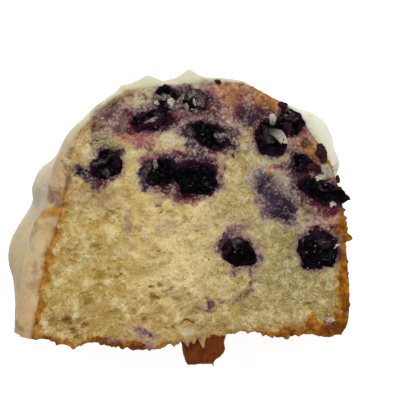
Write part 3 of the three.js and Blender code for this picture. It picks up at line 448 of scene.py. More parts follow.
# Cloudy relief and patches: height, length and width of the lumps, their own layer of noise, octaves.
CLOUDS = {
    "face": (0.8, 5.5, 5.5, 7, 1), "fine_face": (0.36, 2.4, 2.4, 19, 1),
    "stray_u": (0.75, 2.5, 2.5, 71, 3), "stray_h": (0.75, 2.5, 2.5, 83, 3),
    "roughness": (0.5, 6, 6, 23, 1), "crumb_stray": (0.85, 2.1, 2.1, 61, 2),
    "fine_crumb": (0.16, 0.7, 0.7, 15, 2), "tears": (1, 3.1, 2.3, 27, 2),
    "pocket_lip": (1, 1.1, 1.1, 44, 1), "foot_furrows": (1, 4, 1, 31, 1),
    "torn_crust": (1, 1.5, 1.5, 52, 3), "crust_pits": (1, 0.9, 0.9, 57, 2),
    "crust_patches": (0.55, 1.6, 1.6, 35, 1), "crust_spots": (0.3, 0.7, 0.7, 36, 1),
    "lower_face": (0.3, 1, 1, 5, 2), "lower_stains": (1, 7, 7, 97, 1),
    "icing_edge": (1.5, 5, 1, 3, 1), "icing_lumps": (0.6, 7, 6, 11, 1),
    "icing_ripples": (0.12, 2.6, 2.6, 65, 2), "icing_waves": (0.3, 6, 5, 68, 1),
    "juice": (0.45, 1.9, 1.9, 40, 1), "torn_berry": (0.5, 1.5, 1.5, 101, 3),
    "berry_creases": (1, 0.8, 0.8, 120, 1), "berry_hollow": (0.25, 2, 2, 140, 1),
    "berry_rim": (0.2, 1.3, 1.3, 150, 1), "fleck_patches": (1, 1.8, 1.8, 160, 1),
    "scrap_edge": (0.16, 0.9, 0.9, 201, 2), "scrap_bends": (0.16, 2.2, 1.1, 205, 1),
    "scrap_grain": (0.07, 0.7, 0.7, 207, 2),
}


def smooth_step(low, high, x):
    t = np.clip((np.asarray(x, float) - low) / (high - low), 0, 1)
    return t * t * (3 - 2 * t)


def quarter_round(x):
    """The height of a quarter circle: 0 at 0, and 1 from 1 on."""
    return np.sqrt(1 - (1 - np.clip(x, 0, 1)) ** 2)


def lattice_value(*corner):
    """A fixed value from -1 to 1 for each corner of a lattice."""
    stirred = np.uint32(0)
    for number, factor in zip(corner, STIRRED_BY):
        whole = np.atleast_1d(number).astype(np.int64).astype(np.uint32)
        stirred = stirred ^ (whole * np.uint32(factor))
    stirred = (stirred ^ (stirred >> np.uint32(13))) * np.uint32(STIRRED_AGAIN_BY)
    return (stirred ^ (stirred >> np.uint32(16))) / 2**31 - 1


def noise(x, y, z):
    """Smooth noise from -1 to 1, with lumps about one unit wide."""
    x, y, z = np.broadcast_arrays(*(np.asarray(v, float) for v in (x, y, z)))
    cell = [np.floor(v) for v in (x, y, z)]
    share = [smooth_step(0, 1, v - c) for v, c in zip((x, y, z), cell)]
    total = np.zeros(x.shape)
    for corner in range(8):
        step = [corner & 1, (corner >> 1) & 1, corner >> 2]
        weight = np.ones(x.shape)
        for way in range(3):
            weight = weight * (share[way] if step[way] else 1 - share[way])
        value = lattice_value(*(c + s for c, s in zip(cell, step)))
        total = total + weight * value.reshape(x.shape)
    return total


def fractal(x, y, z, octaves):
    """Noise with finer and finer lumps added at half the height."""
    total = 0
    for octave in range(octaves):
        rate = 2**octave
        total = total + noise(x * rate + 3.7 * octave, y * rate, z * rate + 11 * octave) / rate
    return total


def cloud(kind, x, y, own=0):
    """One of the clouds at places in millimetres, the same each time for the same own number."""
    height, length, width, layer, octaves = CLOUDS[kind]
    return height * fractal(x / length, y / width, layer + own, octaves)


def cell_lumps(x, y, size, height, stepped, layer):
    """Rounded lumps round strewn middles, a size apart, each stepped up or down by a number of its own."""
    x, y = x / size, y / size
    cell_x, cell_y = np.floor(x), np.floor(y)
    near, own = np.full(x.shape, np.inf), np.zeros(x.shape)
    for step_x in (-1, 0, 1):
        for step_y in (-1, 0, 1):
            i, j = cell_x + step_x, cell_y + step_y
            middle_x = i + 0.5 + 0.45 * lattice_value(i, j, layer)
            middle_y = j + 0.5 + 0.45 * lattice_value(i, j, layer + 57)
            away = np.hypot(middle_x - x, middle_y - y)
            own = np.where(away < near, lattice_value(i, j, layer + 91), own)
            near = np.minimum(near, away)
    return height * (0.5 - near**2) + stepped * own


def along_stations(stations, x, column=1):
    """The value at x of a smooth line through stations, level past both ends."""
    x = np.asarray(x, float)
    value = np.full(x.shape, float(stations[0][column]))
    for before, after in zip(stations, stations[1:]):
        part = smooth_step(before[0], after[0], x)
        value = np.where(x > before[0], before[column] + (after[column] - before[column]) * part, value)
    return value


def bump(along, behind, at_along, at_behind, length, width):
    """1 at a spot of the walls, less and less round it."""
    across, deep = (along - at_along) / length, (behind - at_behind) / width
    return np.exp(-(across**2 + deep**2))


# ---- The section's outline ----

def spline(points, divisions=60):
    """Points and directions along a smooth curve through the given points, close together."""
    points = np.array(points, float)
    last = len(points) - 1
    t = np.arange(divisions)[:, None] / divisions
    places, ways = [], []
    for i in range(last):
        before, start, end, after = (points[min(max(i + k, 0), last)] for k in (-1, 0, 1, 2))
        lead, trail = (end - before) / 2, (after - start) / 2
        cubic = 2 * start - 2 * end + lead + trail
        square = -3 * start + 3 * end - 2 * lead - trail
        places.append(cubic * t**3 + square * t**2 + lead * t + start)
        ways.append(3 * cubic * t**2 + 2 * square * t + lead)
    places.append(points[-1:])
    ways.append(ways[-1][-1:])
    return np.vstack(places), np.vstack(ways)


class Outline:
    """Stations along a curve: place, distance along it and the direction out of the cake."""

    def __init__(self, points, step, base, end=None, first=0.0):
        places, ways = spline(points)
        grown = np.concatenate([[0], np.cumsum(np.hypot(*np.diff(places, axis=0).T))])
        self.length = grown[-1]
        end = self.length if end is None else end
        count = int(round(end / step))
        at = np.linspace(0, end, count + 1)
        self.u, self.h = (np.interp(at, grown, places[:, k]) for k in (0, 1))
        way = np.stack([np.interp(at, grown, ways[:, k]) for k in (0, 1)], 1)
        way = way / np.hypot(way[:, 0], way[:, 1])[:, None]
        self.out_u, self.out_h = -way[:, 1], way[:, 0]
        self.along = first + at
        self.base = np.full(at.shape, base)

    def joined(self, other):
        """This outline and then the other, which ends where this one starts."""
        for name in ("u", "h", "out_u", "out_h", "along", "base"):
            ours, theirs = getattr(self, name), getattr(other, name)
            setattr(self, name, np.concatenate([ours, theirs[1:-1]]))
        return self

    def moved(self, out):
        """The stations' places, moved out of the cake."""
        return self.u + self.out_u * out, self.h + self.out_h * out


def whole_outline(step):
    wall = Outline(WALL_OUTLINE, step, False)
    base = Outline(BASE_OUTLINE, step, True, first=wall.length)
    return wall.joined(base)


def flute_lift(u, h, base, share):
    """How far a flute stands out of the outer wall, at a share of the way from one groove to the next."""
    lift = along_stations(FLUTE_DEPTHS, h) * np.sin(np.pi * np.clip(share, 0, 1)) ** 2
    return np.where(base | (u > FLUTED_TO), 0, lift)


# ---- Places in the slice ----

def at_depth(u, h, behind):
    """Points behind the shown face, along the ring."""
    radius = OUTER_RADIUS - u
    angle = SLICE_ANGLE - behind / radius
    return np.stack([AXIS_X - radius * np.cos(angle), h - HEIGHT / 2, radius * np.sin(angle)], -1)


def on_face(u, h, lift):
    """Points on the shown face, lifted out of it."""
    return at_depth(u, h, np.zeros(np.shape(u))) + np.asarray(lift)[..., None] * OUT_OF_FACE


def deepest(u):
    """How far the lower cut face is behind the shown one."""
    return (OUTER_RADIUS - u) * SLICE_ANGLE


class Places:
    """Places on the section, with how far the edges of torn things stray there."""

    def __init__(self, u, h):
        self.u, self.h = u, h
        self.stray_u, self.stray_h = cloud("stray_u", u, h), cloud("stray_h", u, h)

    def reach(self, at_u, at_h, half_length, half_width, turn, stray=1.0):
        """1 on the rim of a ragged oval, 0 in its middle."""
        across, up = self.u - at_u - stray * self.stray_u, self.h - at_h - stray * self.stray_h
        c, s = math.cos(math.radians(turn)), math.sin(math.radians(turn))
        return np.hypot((c * across + s * up) / half_length, (c * up - s * across) / half_width)

    def spotted(self, spots, stray, rim, middle):
        """The strongest of ragged spots: none of it at the rim, all of it from the middle in."""
        amount = np.zeros(self.u.shape)
        for *oval, most in spots:
            amount = np.maximum(amount, most * smooth_step(rim, middle, self.reach(*oval, stray)))
        return amount


PLACES_AT_ONCE = 4000


def loop_distance(u, h, loop_u, loop_h):
    """How far places are from a closed loop, which station of it is nearest, and whether they are in it."""
    distance = np.empty(len(u))
    nearest = np.empty(len(u), int)
    inside = np.empty(len(u), bool)
    next_u, next_h = np.roll(loop_u, -1), np.roll(loop_h, -1)
    rise = np.where(next_h == loop_h, 1e-9, next_h - loop_h)
    for first in range(0, len(u), PLACES_AT_ONCE):
        part = slice(first, first + PLACES_AT_ONCE)
        x, y = u[part, None], h[part, None]
        away = np.hypot(x - loop_u, y - loop_h)
        nearest[part] = away.argmin(1)
        distance[part] = away.min(1)
        crosses = (loop_h > y) != (next_h > y)
        crosses &= x < loop_u + (y - loop_h) / rise * (next_u - loop_u)
        inside[part] = crosses.sum(1) % 2 == 1
    return distance, nearest, inside


# How a loop is filled, in steps: from row to row, how far points stray, how far they stay off the rim.
ROW_STEP, POINT_STRAY, RIM_GAP = 0.9, 0.22, 0.55


def fill_loop(loop_u, loop_h, step, seed):
    """Triangles that fill a closed loop. The loop's own points come first."""
    strewn = np.random.default_rng(seed)
    columns = np.arange(loop_u.min(), loop_u.max(), step)
    u, h = np.meshgrid(columns, np.arange(loop_h.min(), loop_h.max(), step * ROW_STEP))
    u = u + step * 0.5 * (np.arange(u.shape[0]) % 2)[:, None]
    u, h = (v.ravel() + strewn.uniform(-POINT_STRAY, POINT_STRAY, v.size) * step for v in (u, h))
    distance, _, inside = loop_distance(u, h, loop_u, loop_h)
    kept = inside & (distance > RIM_GAP * step)
    u, h = np.concatenate([loop_u, u[kept]]), np.concatenate([loop_h, h[kept]])
    rim = [list(range(len(loop_u)))]
    points = [Vector(place) for place in zip(u.tolist(), h.tolist())]
    triangles = np.array(delaunay_2d_cdt(points, [], rim, 1, 1e-7)[2])
    a, b, c = (np.stack([u[triangles[:, k]], h[triangles[:, k]]], 1) for k in range(3))
    turned = (b[:, 0] - a[:, 0]) * (c[:, 1] - a[:, 1]) - (b[:, 1] - a[:, 1]) * (c[:, 0] - a[:, 0]) < 0
    triangles[turned] = triangles[turned][:, ::-1]
    return u, h, triangles


# ---- Making pieces ----

def plain_mesh(name, points, faces, marks=None):
    """A mesh in metres from millimetres, with its marks for the finish: a number or a colour a point."""
    faces = [face for group in faces for face in np.asarray(group).tolist()]
    mesh = bpy.data.meshes.new(name)
    mesh.from_pydata((np.asarray(points) / MM).tolist(), [], faces)
    for mark, values in (marks or {}).items():
        if np.ndim(values) == 1:
            attribute = mesh.attributes.new(mark, "FLOAT", "POINT")
            attribute.data.foreach_set("value", np.asarray(values, np.float32))
        else:
            attribute = mesh.attributes.new(mark, "FLOAT_COLOR", "POINT")
            four = np.concatenate([values, np.ones((len(values), 1))], 1)
            attribute.data.foreach_set("color", four.astype(np.float32).ravel())
    mesh.polygons.foreach_set("use_smooth", np.ones(len(mesh.polygons), bool))
    mesh.update()
    return mesh


def outward(points, faces):
    """The faces of a closed shape, turned round if they point inwards."""
    faces = [np.asarray(group) for group in faces]
    inside = 0
    for group in faces:
        for k in range(1, group.shape[1] - 1):
            a, b, c = (points[group[:, column]] for column in (0, k, k + 1))
            inside += np.einsum("ij,ij->", a, np.cross(b, c))
    return faces if inside > 0 else [group[:, ::-1] for group in faces]


def place_piece(name, mesh, finish=None):
    """Sets a mesh into the scene as a piece on the cake's one body."""
    if finish:
        mesh.materials.append(finish)
    piece = bpy.data.objects.new(name, mesh)
    bpy.context.scene.collection.objects.link(piece)
    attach(piece, "root")
    return piece


def make_piece(name, points, faces, finish, marks):
    points = np.asarray(points)
    return place_piece(name, plain_mesh(name, points, outward(points, faces), marks), finish)


def strip_faces(first, second):
    """The four-cornered faces between two rows of points of the same closed loop."""
    after_first, after_second = np.roll(first, -1), np.roll(second, -1)
    return np.stack([first, after_first, after_second, second], 1)


def ball(steps):
    """The points and triangles of a unit ball."""
    shape = bmesh.new()
    bmesh.ops.create_icosphere(shape, subdivisions=steps, radius=1)
    points = np.array([vertex.co[:] for vertex in shape.verts])
    triangles = np.array([[vertex.index for vertex in face.verts] for face in shape.faces])
    shape.free()
    return points, triangles


# ---- Colour that has soaked into the crumb ----

def srgb(red, green, blue):
    """A colour of 0 to 255 as the light that it sends back."""
    parts = [v / 255 for v in (red, green, blue)]
    return tuple(v / 12.92 if v <= 0.04045 else ((v + 0.055) / 1.055) ** 2.4 for v in parts)


def berry_reach(berry, places):
    """1 on the rim that a berry shows in the face, 0 in its middle."""
    half_length, half_width, half_depth = berry["size"]
    shown = math.sqrt(1 - (berry["sunk"] / half_depth) ** 2)
    return places.reach(*berry["at"], half_length * shown, half_width * shown, berry["turn"])


# Juice round each berry: how far it goes, its share, its kind.
BERRY_JUICES = [(0.8, 1, "wine"), (1.9, 0.7, "purple")]


def soaked(places, layers, berries=()):
    """How strongly each place near the face is stained, and with what."""
    shape = places.u.shape
    strength, weight, colour = np.zeros(shape), np.full(shape, 1e-6), np.zeros(shape + (3,))

    def add(amount, kind):
        nonlocal strength, colour, weight
        colour = colour + amount[..., None] ** 3 * np.array(srgb(*STAIN_TINTS[kind]))
        weight = weight + amount**3
        strength = 1 - (1 - strength) * (1 - amount)

    for kinds, stray, rim, middle in layers:
        for kind, spots in kinds.items():
            for *oval, most in spots:
                add(most * smooth_step(rim, middle, places.reach(*oval, stray)), kind)
    for number, berry in enumerate(berries):
        rim = np.maximum(0, (berry_reach(berry, places) - 1) * min(berry["size"][:2]))
        patchy = 0.75 + cloud("juice", places.u, places.h, number)
        for far, share, kind in BERRY_JUICES:
            add(np.clip(share * berry["juice"] * np.exp(-(rim / far) ** 2) * patchy, 0, 1), kind)
    return np.clip(strength, 0, 1), colour / weight[..., None]


# ---- The torn crumb ----

# Clumps and grains of crumb: the size, height, own step and layer of each.
CLUMPS, GRAINS = (1.9, 0.24, 0.13, 5), (0.95, 0.17, 0.07, 9)
TEAR_DEPTH = 0.4
POCKET_DEPTH, POCKET_LIP = 2.6, 0.35  # round each berry
CUT_EDGE_DROP, CUT_EDGE_WIDTH = 0.3, 0.6
FOOT_FURROWS = 18  # to the radian, round the ring
FOOT_FURROW_HEIGHT = 0.5
TORN_FOOT, TORN_WALL = (0.42, 0.2), (0.1, 0.06)  # how ragged and how pitted


def broad_lift(u, h):
    """The broad rise and fall of the face."""
    return cloud("face", u, h) + cloud("fine_face", u, h)


def crumb_lift(places, edge):
    """How far the torn crumb stands out of the cut's plane, and how deep in a pit each place is."""
    u, h = places.u, places.h
    rough = 0.85 + cloud("roughness", u, h) - 0.25 * smooth_step(50, 66, u)
    stray_u, stray_h = (cloud("crumb_stray", u, h, own) for own in (0, 1))
    clump = cell_lumps(u + stray_u, h + stray_h, *CLUMPS)
    grain = cell_lumps(u - stray_h, h + stray_u, *GRAINS)
    torn = TEAR_DEPTH * smooth_step(0.1, 0.75, cloud("tears", u, h))
    pit, groove = places.spotted(*PITS), places.spotted(*FURROWS)
    smoothed = 1 - 0.8 * np.clip(groove, 0, 1)
    detail = rough * smoothed * (clump + grain + cloud("fine_crumb", u, h) - torn)
    deep = 0.34 - 0.9 * detail + 0.8 * pit + 0.3 * groove
    dropped = CUT_EDGE_DROP * np.exp(-((edge / CUT_EDGE_WIDTH) ** 2))
    lift = broad_lift(u, h) + detail - pit - groove - dropped
    for berry in BERRIES:
        reach = berry_reach(berry, places)
        pocket = POCKET_DEPTH * smooth_step(1.0, 0.72, reach) * smooth_step(0, 0.3, edge + 0.05)
        lip = POCKET_LIP * np.exp(-(((reach - 1.12) / 0.1) ** 2)) * cloud("pocket_lip", u, h)
        lift = lift - pocket + lip
    return lift, np.clip(deep, 0, 1)


def crust_relief(outline, behind):
    """How far the crust stands out of the section's outline, at a depth behind the shown face."""
    along, base = outline.along, outline.base
    angle = SLICE_ANGLE - behind / (OUTER_RADIUS - outline.u)
    furrow = cloud("foot_furrows", outline.u, angle * FOOT_FURROWS)
    share = 1 - behind / deepest(outline.u)
    torn = cloud("torn_crust", along, behind)
    ragged, pitted = (np.where(base, *heights) for heights in zip(TORN_FOOT, TORN_WALL))
    ragged = ragged * torn * np.exp(-behind / 3)
    pitted = pitted * cloud("crust_pits", along, behind)
    furrow = np.where(base, FOOT_FURROW_HEIGHT * furrow * smooth_step(0, 1, share), 0)
    relief = flute_lift(outline.u, outline.h, base, share) + furrow + ragged + pitted
    for at, deep, half, height in CRUST_CRUMBS:
        reach = np.hypot((along - at) / half, (behind - deep) / half)
        relief = relief + height * smooth_step(1.2, 0.2, reach + 0.25 * torn)
    return relief


def crust_marks(u, h, along, edge, behind):
    """How browned each place is, by the crust's line on the faces and by the walls, and the walls alone."""
    width, browned = (along_stations(CRUST_AT_CUT, along, column) for column in (1, 2))
    patchy = np.clip(1 + cloud("crust_patches", u, h) + cloud("crust_spots", u, h), 0.2, 2)
    line = browned * smooth_step(1.25, 0.5, edge / (width * patchy))
    wall = smooth_step(0.2, 1.6, behind) * (edge <= 0)
    return np.clip(np.maximum(line, wall), 0, 1), wall


class Skin:
    """Patches of one closed skin, gathered with what is known of each point."""

    def __init__(self):
        self.points, self.faces, self.known = [], [], {}
        self.count = 0

    def add(self, u, h, points, **known):
        """Adds points and gives their numbers in the skin."""
        self.points.append(points)
        for name, values in {"u": u, "h": h, **known}.items():
            self.known.setdefault(name, []).append(values)
        first = self.count
        self.count += len(points)
        return np.arange(first, self.count)


def cake_skin():
    """The skin of the cake: its shown face first, then its walls row by row, then its lower face."""
    skin = Skin()
    outline = whole_outline(LOOP_STEP)
    count = len(outline.u)
    loop_u, loop_h = outline.moved(crust_relief(outline, np.zeros(count)))
    u, h, triangles = fill_loop(loop_u, loop_h, FACE_STEP, FACE_SEED)
    edge, nearest, _ = loop_distance(u, h, loop_u, loop_h)
    edge[:count] = 0
    lift, deep = crumb_lift(Places(u, h), edge)
    along, base = outline.along, outline.base
    known = {"behind": -lift, "along": along[nearest], "base": base[nearest], "deep": deep}
    row = skin.add(u, h, on_face(u, h, lift), edge=edge, **known)[:count]
    skin.faces.append(triangles)

    lift, depth = lift[:count], deepest(loop_u)
    for number in range(1, WALL_ROWS + 1):
        share = (number / WALL_ROWS) ** WALL_CROWDING
        behind = depth * share - lift * (1 - share)
        u, h = outline.moved(crust_relief(outline, np.maximum(behind, 0)))
        behind = deepest(u) * share - lift * (1 - share)
        deep = np.clip(0.4 - 0.5 * cloud("crust_pits", along, behind), 0, 1)
        known = {"behind": behind, "along": along, "base": base, "deep": deep}
        before, row = row, skin.add(u, h, at_depth(u, h, behind), edge=np.zeros(count), **known)
        skin.faces.append(strip_faces(before, row))

    low_u, low_h, triangles = fill_loop(u, h, LOWER_FACE_STEP, LOWER_FACE_SEED)
    low_u, low_h = low_u[count:], low_h[count:]
    edge, nearest, _ = loop_distance(low_u, low_h, u, h)
    deep = np.clip(0.35 + cloud("lower_face", low_u, low_h), 0, 1)
    behind = np.full(len(low_u), LOWER_FACE_BEHIND)
    known = {"behind": behind, "along": along[nearest], "base": base[nearest], "deep": deep}
    inner = skin.add(low_u, low_h, at_depth(low_u, low_h, deepest(low_u)), edge=edge, **known)
    skin.faces.append(np.concatenate([row, inner])[triangles][:, ::-1])
    return skin


def cake_piece(finish):
    """Makes the cake, and gives its shown face for the strewn crumbs."""
    skin = cake_skin()
    known = {name: np.concatenate(values) for name, values in skin.known.items()}
    u, h, edge, behind, deep = (known[name] for name in ("u", "h", "edge", "behind", "deep"))
    browned, wall = crust_marks(u, h, known["along"], edge, behind)
    places = Places(u, h)
    stain, tint = soaked(places, CRUMB_COLOURING, BERRIES)
    shown = smooth_step(4, 1, behind)
    lower_stain = smooth_step(60, 90, behind) * smooth_step(0.62, 0.75, cloud("lower_stains", u, h))
    marks = {
        "across": u / FULL_WIDTH,
        "up": h / HEIGHT,
        "deep": deep,
        "browned": browned,
        "wall": wall,
        "foot": (known["base"] & (edge <= 0)) * smooth_step(0.5, 3, behind),
        "stain": np.maximum(stain * shown, 0.9 * lower_stain),
        "pale": places.spotted(*SOAKED_PALE) * shown,
        "tint": tint,
    }
    piece = make_piece("cake_crumb", np.vstack(skin.points), skin.faces, finish, marks)
    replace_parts(piece, "cake")

    nearest_berry = np.min([berry_reach(berry, places) for berry in BERRIES], axis=0)
    room = smooth_step(0.84, 1.05, nearest_berry) * (1 - places.spotted(*FURROW_FLOORS))
    room = room * smooth_step(1, 0.7, deep)
    face_marks = {name: values[:len(skin.points[0])] for name, values in {**marks, "room": room}.items()}
    return plain_mesh("shown_face", skin.points[0], skin.faces[:1], face_marks)


# ---- The icing ----

def icing_edge(edge, drips, direction, behind):
    """Where the icing ends along the outline, with its drips, at each depth behind the face."""
    reach = np.zeros(behind.shape)
    for middle, half_width, longest in drips:
        reach = np.maximum(reach, longest * np.exp(-(((behind - middle) / half_width) ** 4)))
    return edge + direction * (reach + cloud("icing_edge", behind, edge))


def icing_thickness(along, behind):
    """The icing's thickness. Outside its edge, a number below 0 says how far away that is."""
    outer = along - icing_edge(OUTER_EDGE, OUTER_DRIPS, -1, behind)
    inner = icing_edge(INNER_EDGE, INNER_DRIPS, 1, behind) - along
    bare = BARE_LENGTH * (BARE_LEVEL - bump(along, behind, *BARE_PATCH))
    inside = np.minimum(np.minimum(outer, inner), bare)
    cut = along_stations(ICING_AT_CUT, along)
    back = along_stations(ICING_BEHIND, along) + cloud("icing_lumps", along, behind)
    swells = sum(height * bump(along, behind, *swell) for *swell, height in ICING_SWELLS)
    thickness = cut + (back - cut) * smooth_step(0, ICING_BLEND, behind) + swells
    thickness = np.maximum(ICING_LEAST, thickness) * quarter_round(inside / BEAD_WIDTH)
    return np.where(inside > 0, thickness, inside)


def closed_sheet(top, bottom, kept):
    """Two layers of grid points, joined all round wherever the cells that are kept end."""
    rows, columns = kept.shape[0] + 1, kept.shape[1] + 1
    number = np.arange(rows * columns).reshape(rows, columns)
    layers = (number, number + rows * columns)
    upper, lower = (np.stack([n[:-1, :-1], n[:-1, 1:], n[1:, 1:], n[1:, :-1]], -1) for n in layers)
    faces = [upper[kept], lower[kept][:, ::-1]]
    grown = np.pad(kept, 1)
    neighbours = (grown[:-2, 1:-1], grown[1:-1, 2:], grown[2:, 1:-1], grown[1:-1, :-2])
    for a, other in enumerate(neighbours):
        b = (a + 1) % 4
        rim = kept & ~other
        faces.append(np.stack([upper[rim][:, b], upper[rim][:, a], lower[rim][:, a], lower[rim][:, b]], 1))
    points = np.concatenate([top.reshape(-1, 3), bottom.reshape(-1, 3)])
    used = np.unique(np.concatenate([face.ravel() for face in faces]))
    renamed = np.zeros(len(points), int)
    renamed[used] = np.arange(len(used))
    return points[used], [renamed[face] for face in faces], used


def without_loose_corners(kept):
    """Cells that meet another only at a corner get a neighbour, so that the sheet closes."""
    while True:
        a, b, c, d = kept[:-1, :-1], kept[:-1, 1:], kept[1:, :-1], kept[1:, 1:]
        crossed = (a & d & ~b & ~c) | (b & c & ~a & ~d)
        if not crossed.any():
            return kept
        kept = kept.copy()
        kept[:-1, :-1] |= crossed
        kept[:-1, 1:] |= crossed


def icing_cut(along, u, h, thickness, raised, offset):
    """Where the knife went: how far back the points are, how much is cut, how deep and torn it is."""
    lift, deep = crumb_lift(Places(u, h), np.full(u.shape, FAR_FROM_EDGE))
    left = raised - offset
    rounding = np.minimum(CUT_ROUNDING, 0.85 * np.maximum(raised, 0.05))
    corner = np.clip(1 - left / rounding, 0, 1)
    rounded = rounding * (1 - np.sqrt(1 - corner**2))
    thin = 1.4 * smooth_step(0.5, -0.3, thickness)
    tucked = 0.5 * smooth_step(0.05, -0.4, offset)
    torn = smooth_step(28, 34, along) * smooth_step(82, 74, along) * smooth_step(0.7, 2.0, left)
    softened = ((0.45 + 0.5 * torn) * lift + 0.1) * (1 - smooth_step(0.1, 0.9, corner))
    softened = softened + (lift - 0.3 - softened) * smooth_step(1.3, 0, offset)
    shown = 1 - smooth_step(0, 1, corner)
    return rounded + thin + tucked - softened, shown, deep, torn


def icing_piece(finish):
    """The poured icing as a closed sheet: rows round its rim at the cut, then rows down behind it."""
    outline = Outline(WALL_OUTLINE, ICING_STEP, False, end=ICING_END)
    foot = ICING_FOOT_COLUMNS
    pick = np.concatenate([np.zeros(foot, int), np.arange(len(outline.u))])
    u0, h0, along = outline.u[pick], outline.h[pick], outline.along[pick]
    out_u, out_h = outline.out_u[pick], outline.out_h[pick]
    foot_share = np.ones(len(pick))
    foot_share[:foot] = np.sin(np.linspace(0, math.pi / 2, foot, endpoint=False))
    cut_share = np.sin(np.linspace(0, math.pi / 2, ICING_CUT_ROWS))
    wall_share = np.linspace(0, 1, ICING_WALL_ROWS + 1)[1:] ** ICING_CROWDING
    row_share = np.concatenate([cut_share, np.ones(ICING_WALL_ROWS)])[:, None]
    depth_share = np.concatenate([np.zeros(ICING_CUT_ROWS), wall_share])[:, None]

    depth = deepest(u0) - ICING_SHORT
    behind = depth_share * depth
    thickness = icing_thickness(along + 0 * behind, behind)
    flute = flute_lift(u0, h0, False, 1 - behind / deepest(u0))
    lumpy = cloud("icing_ripples", along, behind) + cloud("icing_waves", along, behind)
    lumpy = lumpy * smooth_step(0.5, 2, thickness)
    under = np.minimum(-ICING_UNDER, thickness - ICING_EDGE_DEPTH)
    sunk = np.maximum(thickness, -ICING_SUNK - ICING_EDGE_DEPTH)
    raised = np.where(thickness > 0, thickness + lumpy, sunk)
    offset = under + (raised - under) * (row_share * foot_share)
    u, h = u0 + out_u * (flute + offset), h0 + out_h * (flute + offset)

    cut = slice(0, ICING_CUT_ROWS)
    cut_grids = (grid[cut] for grid in (u, h, thickness, raised, offset))
    behind[cut], shown, deep, torn = icing_cut(along, *cut_grids)
    edge_start = behind[ICING_CUT_ROWS - 1][None, :]
    behind[ICING_CUT_ROWS:] = edge_start + (depth - edge_start) * wall_share[:, None]
    under_u, under_h = u0 + out_u * (flute + under), h0 + out_h * (flute + under)
    under_behind = np.maximum(behind, 0.3 + 0.2 * smooth_step(0, 20, behind))
    layers = at_depth(u, h, behind), at_depth(under_u, under_h, under_behind)
    for layer in layers:
        layer[..., 2] = np.maximum(layer[..., 2], ICING_FLOOR_GAP)
    there = thickness > -ICING_SUNK
    kept = there[:-1, :-1] & there[1:, :-1] & there[:-1, 1:] & there[1:, 1:]
    kept[:, :foot] &= there[:-1, foot:foot + 1]
    points, faces, used = closed_sheet(*layers, without_loose_corners(kept))

    stain, tint = soaked(Places(u, h), ICING_COLOURING)
    near_crust = smooth_step(1.6, 0.2, offset[cut]) * (shown > 0) * smooth_step(46, 40, along)
    at_cut = {"cut": shown, "deep": deep * shown, "near_crust": near_crust, "crumby": torn * shown}
    grids = {name: np.vstack([values, 0 * behind[ICING_CUT_ROWS:]]) for name, values in at_cut.items()}
    grids["stain"] = stain * smooth_step(10, 4, behind)
    grids["along"] = along / ALONG_FULL + 0 * behind
    grids["behind"] = behind / BEHIND_FULL
    marks = {name: np.tile(grid.ravel(), 2)[used] for name, grid in grids.items()}
    marks["tint"] = np.tile(tint.reshape(-1, 3), (2, 1))[used]
    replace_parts(make_piece("poured_icing", points, faces, finish, marks), "icing")


# ---- The blueberries ----

def berry_piece(number, berry, unit, triangles, finish):
    """A berry that the knife met: whole below the face, torn and nearly flat above it."""
    half_length, half_width, half_depth = berry["size"]
    x, y, z = unit.T
    apart = BERRY_APART * (number + 1)
    x_lump, y_lump, z_lump = BERRY_LUMPS["rate"] * unit.T
    swell = 1 + BERRY_LUMPS["height"] * noise(x_lump + apart, y_lump, z_lump + BERRY_LUMPS["layer"])
    x_fold, y_fold, z_fold = BERRY_WRINKLES["rate"] * unit.T
    wrinkle = 1 - np.abs(fractal(x_fold + apart, y_fold, z_fold, 3))
    grown = swell * (0.97 + BERRY_WRINKLES["height"] * wrinkle)
    level = half_depth * z * grown - berry["sunk"]
    cut = level - np.maximum(0, level - BERRY_CUT_LEVEL) * (1 - BERRY_CUT_KEEP)
    narrowed = 1 - berry["tip"] * smooth_step(0.35, 1.0, x)
    across, up = half_length * grown * x, half_width * grown * y * narrowed
    turn = math.radians(berry["turn"])
    u = berry["at"][0] + across * math.cos(turn) - up * math.sin(turn)
    h = berry["at"][1] + across * math.sin(turn) + up * math.cos(turn)
    places = Places(u, h)
    u, h = u + places.stray_u, h + places.stray_h
    places = Places(u, h)
    top = smooth_step(-0.4, 0.3, level)
    torn = cloud("torn_berry", u, h, number) + 0.3 * (0.5 - np.abs(cloud("berry_creases", u, h)))
    hollow = 0.7 * smooth_step(0.75, 0.1, np.hypot(x, y) + cloud("berry_hollow", u, h, number))
    lift = cut + top * (torn - hollow) + broad_lift(u, h) * smooth_step(-2.5, 0, level)
    reach = np.min([berry_reach(other, places) for other in BERRIES], axis=0)
    rim = berry["juice"] * smooth_step(0.66, 1.0, reach + cloud("berry_rim", u, h))
    juicy = places.spotted(*JUICE) * smooth_step(-0.4, 0.1, level)
    patches = smooth_step(-0.5, 0.3, cloud("fleck_patches", u, h))
    marks = {
        "rim": np.maximum(rim, juicy),
        "smear": places.spotted(*SMEARS),
        "torn": top,
        "room": berry["flecked"] * smooth_step(0.1, 0.5, top) * patches,
    }
    points = on_face(u, h, lift)
    piece = make_piece(berry["name"] + "_flesh", points, [triangles], finish, marks)
    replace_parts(piece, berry["name"])
    return points, marks["room"]


# ---- Scraps and small lumps ----

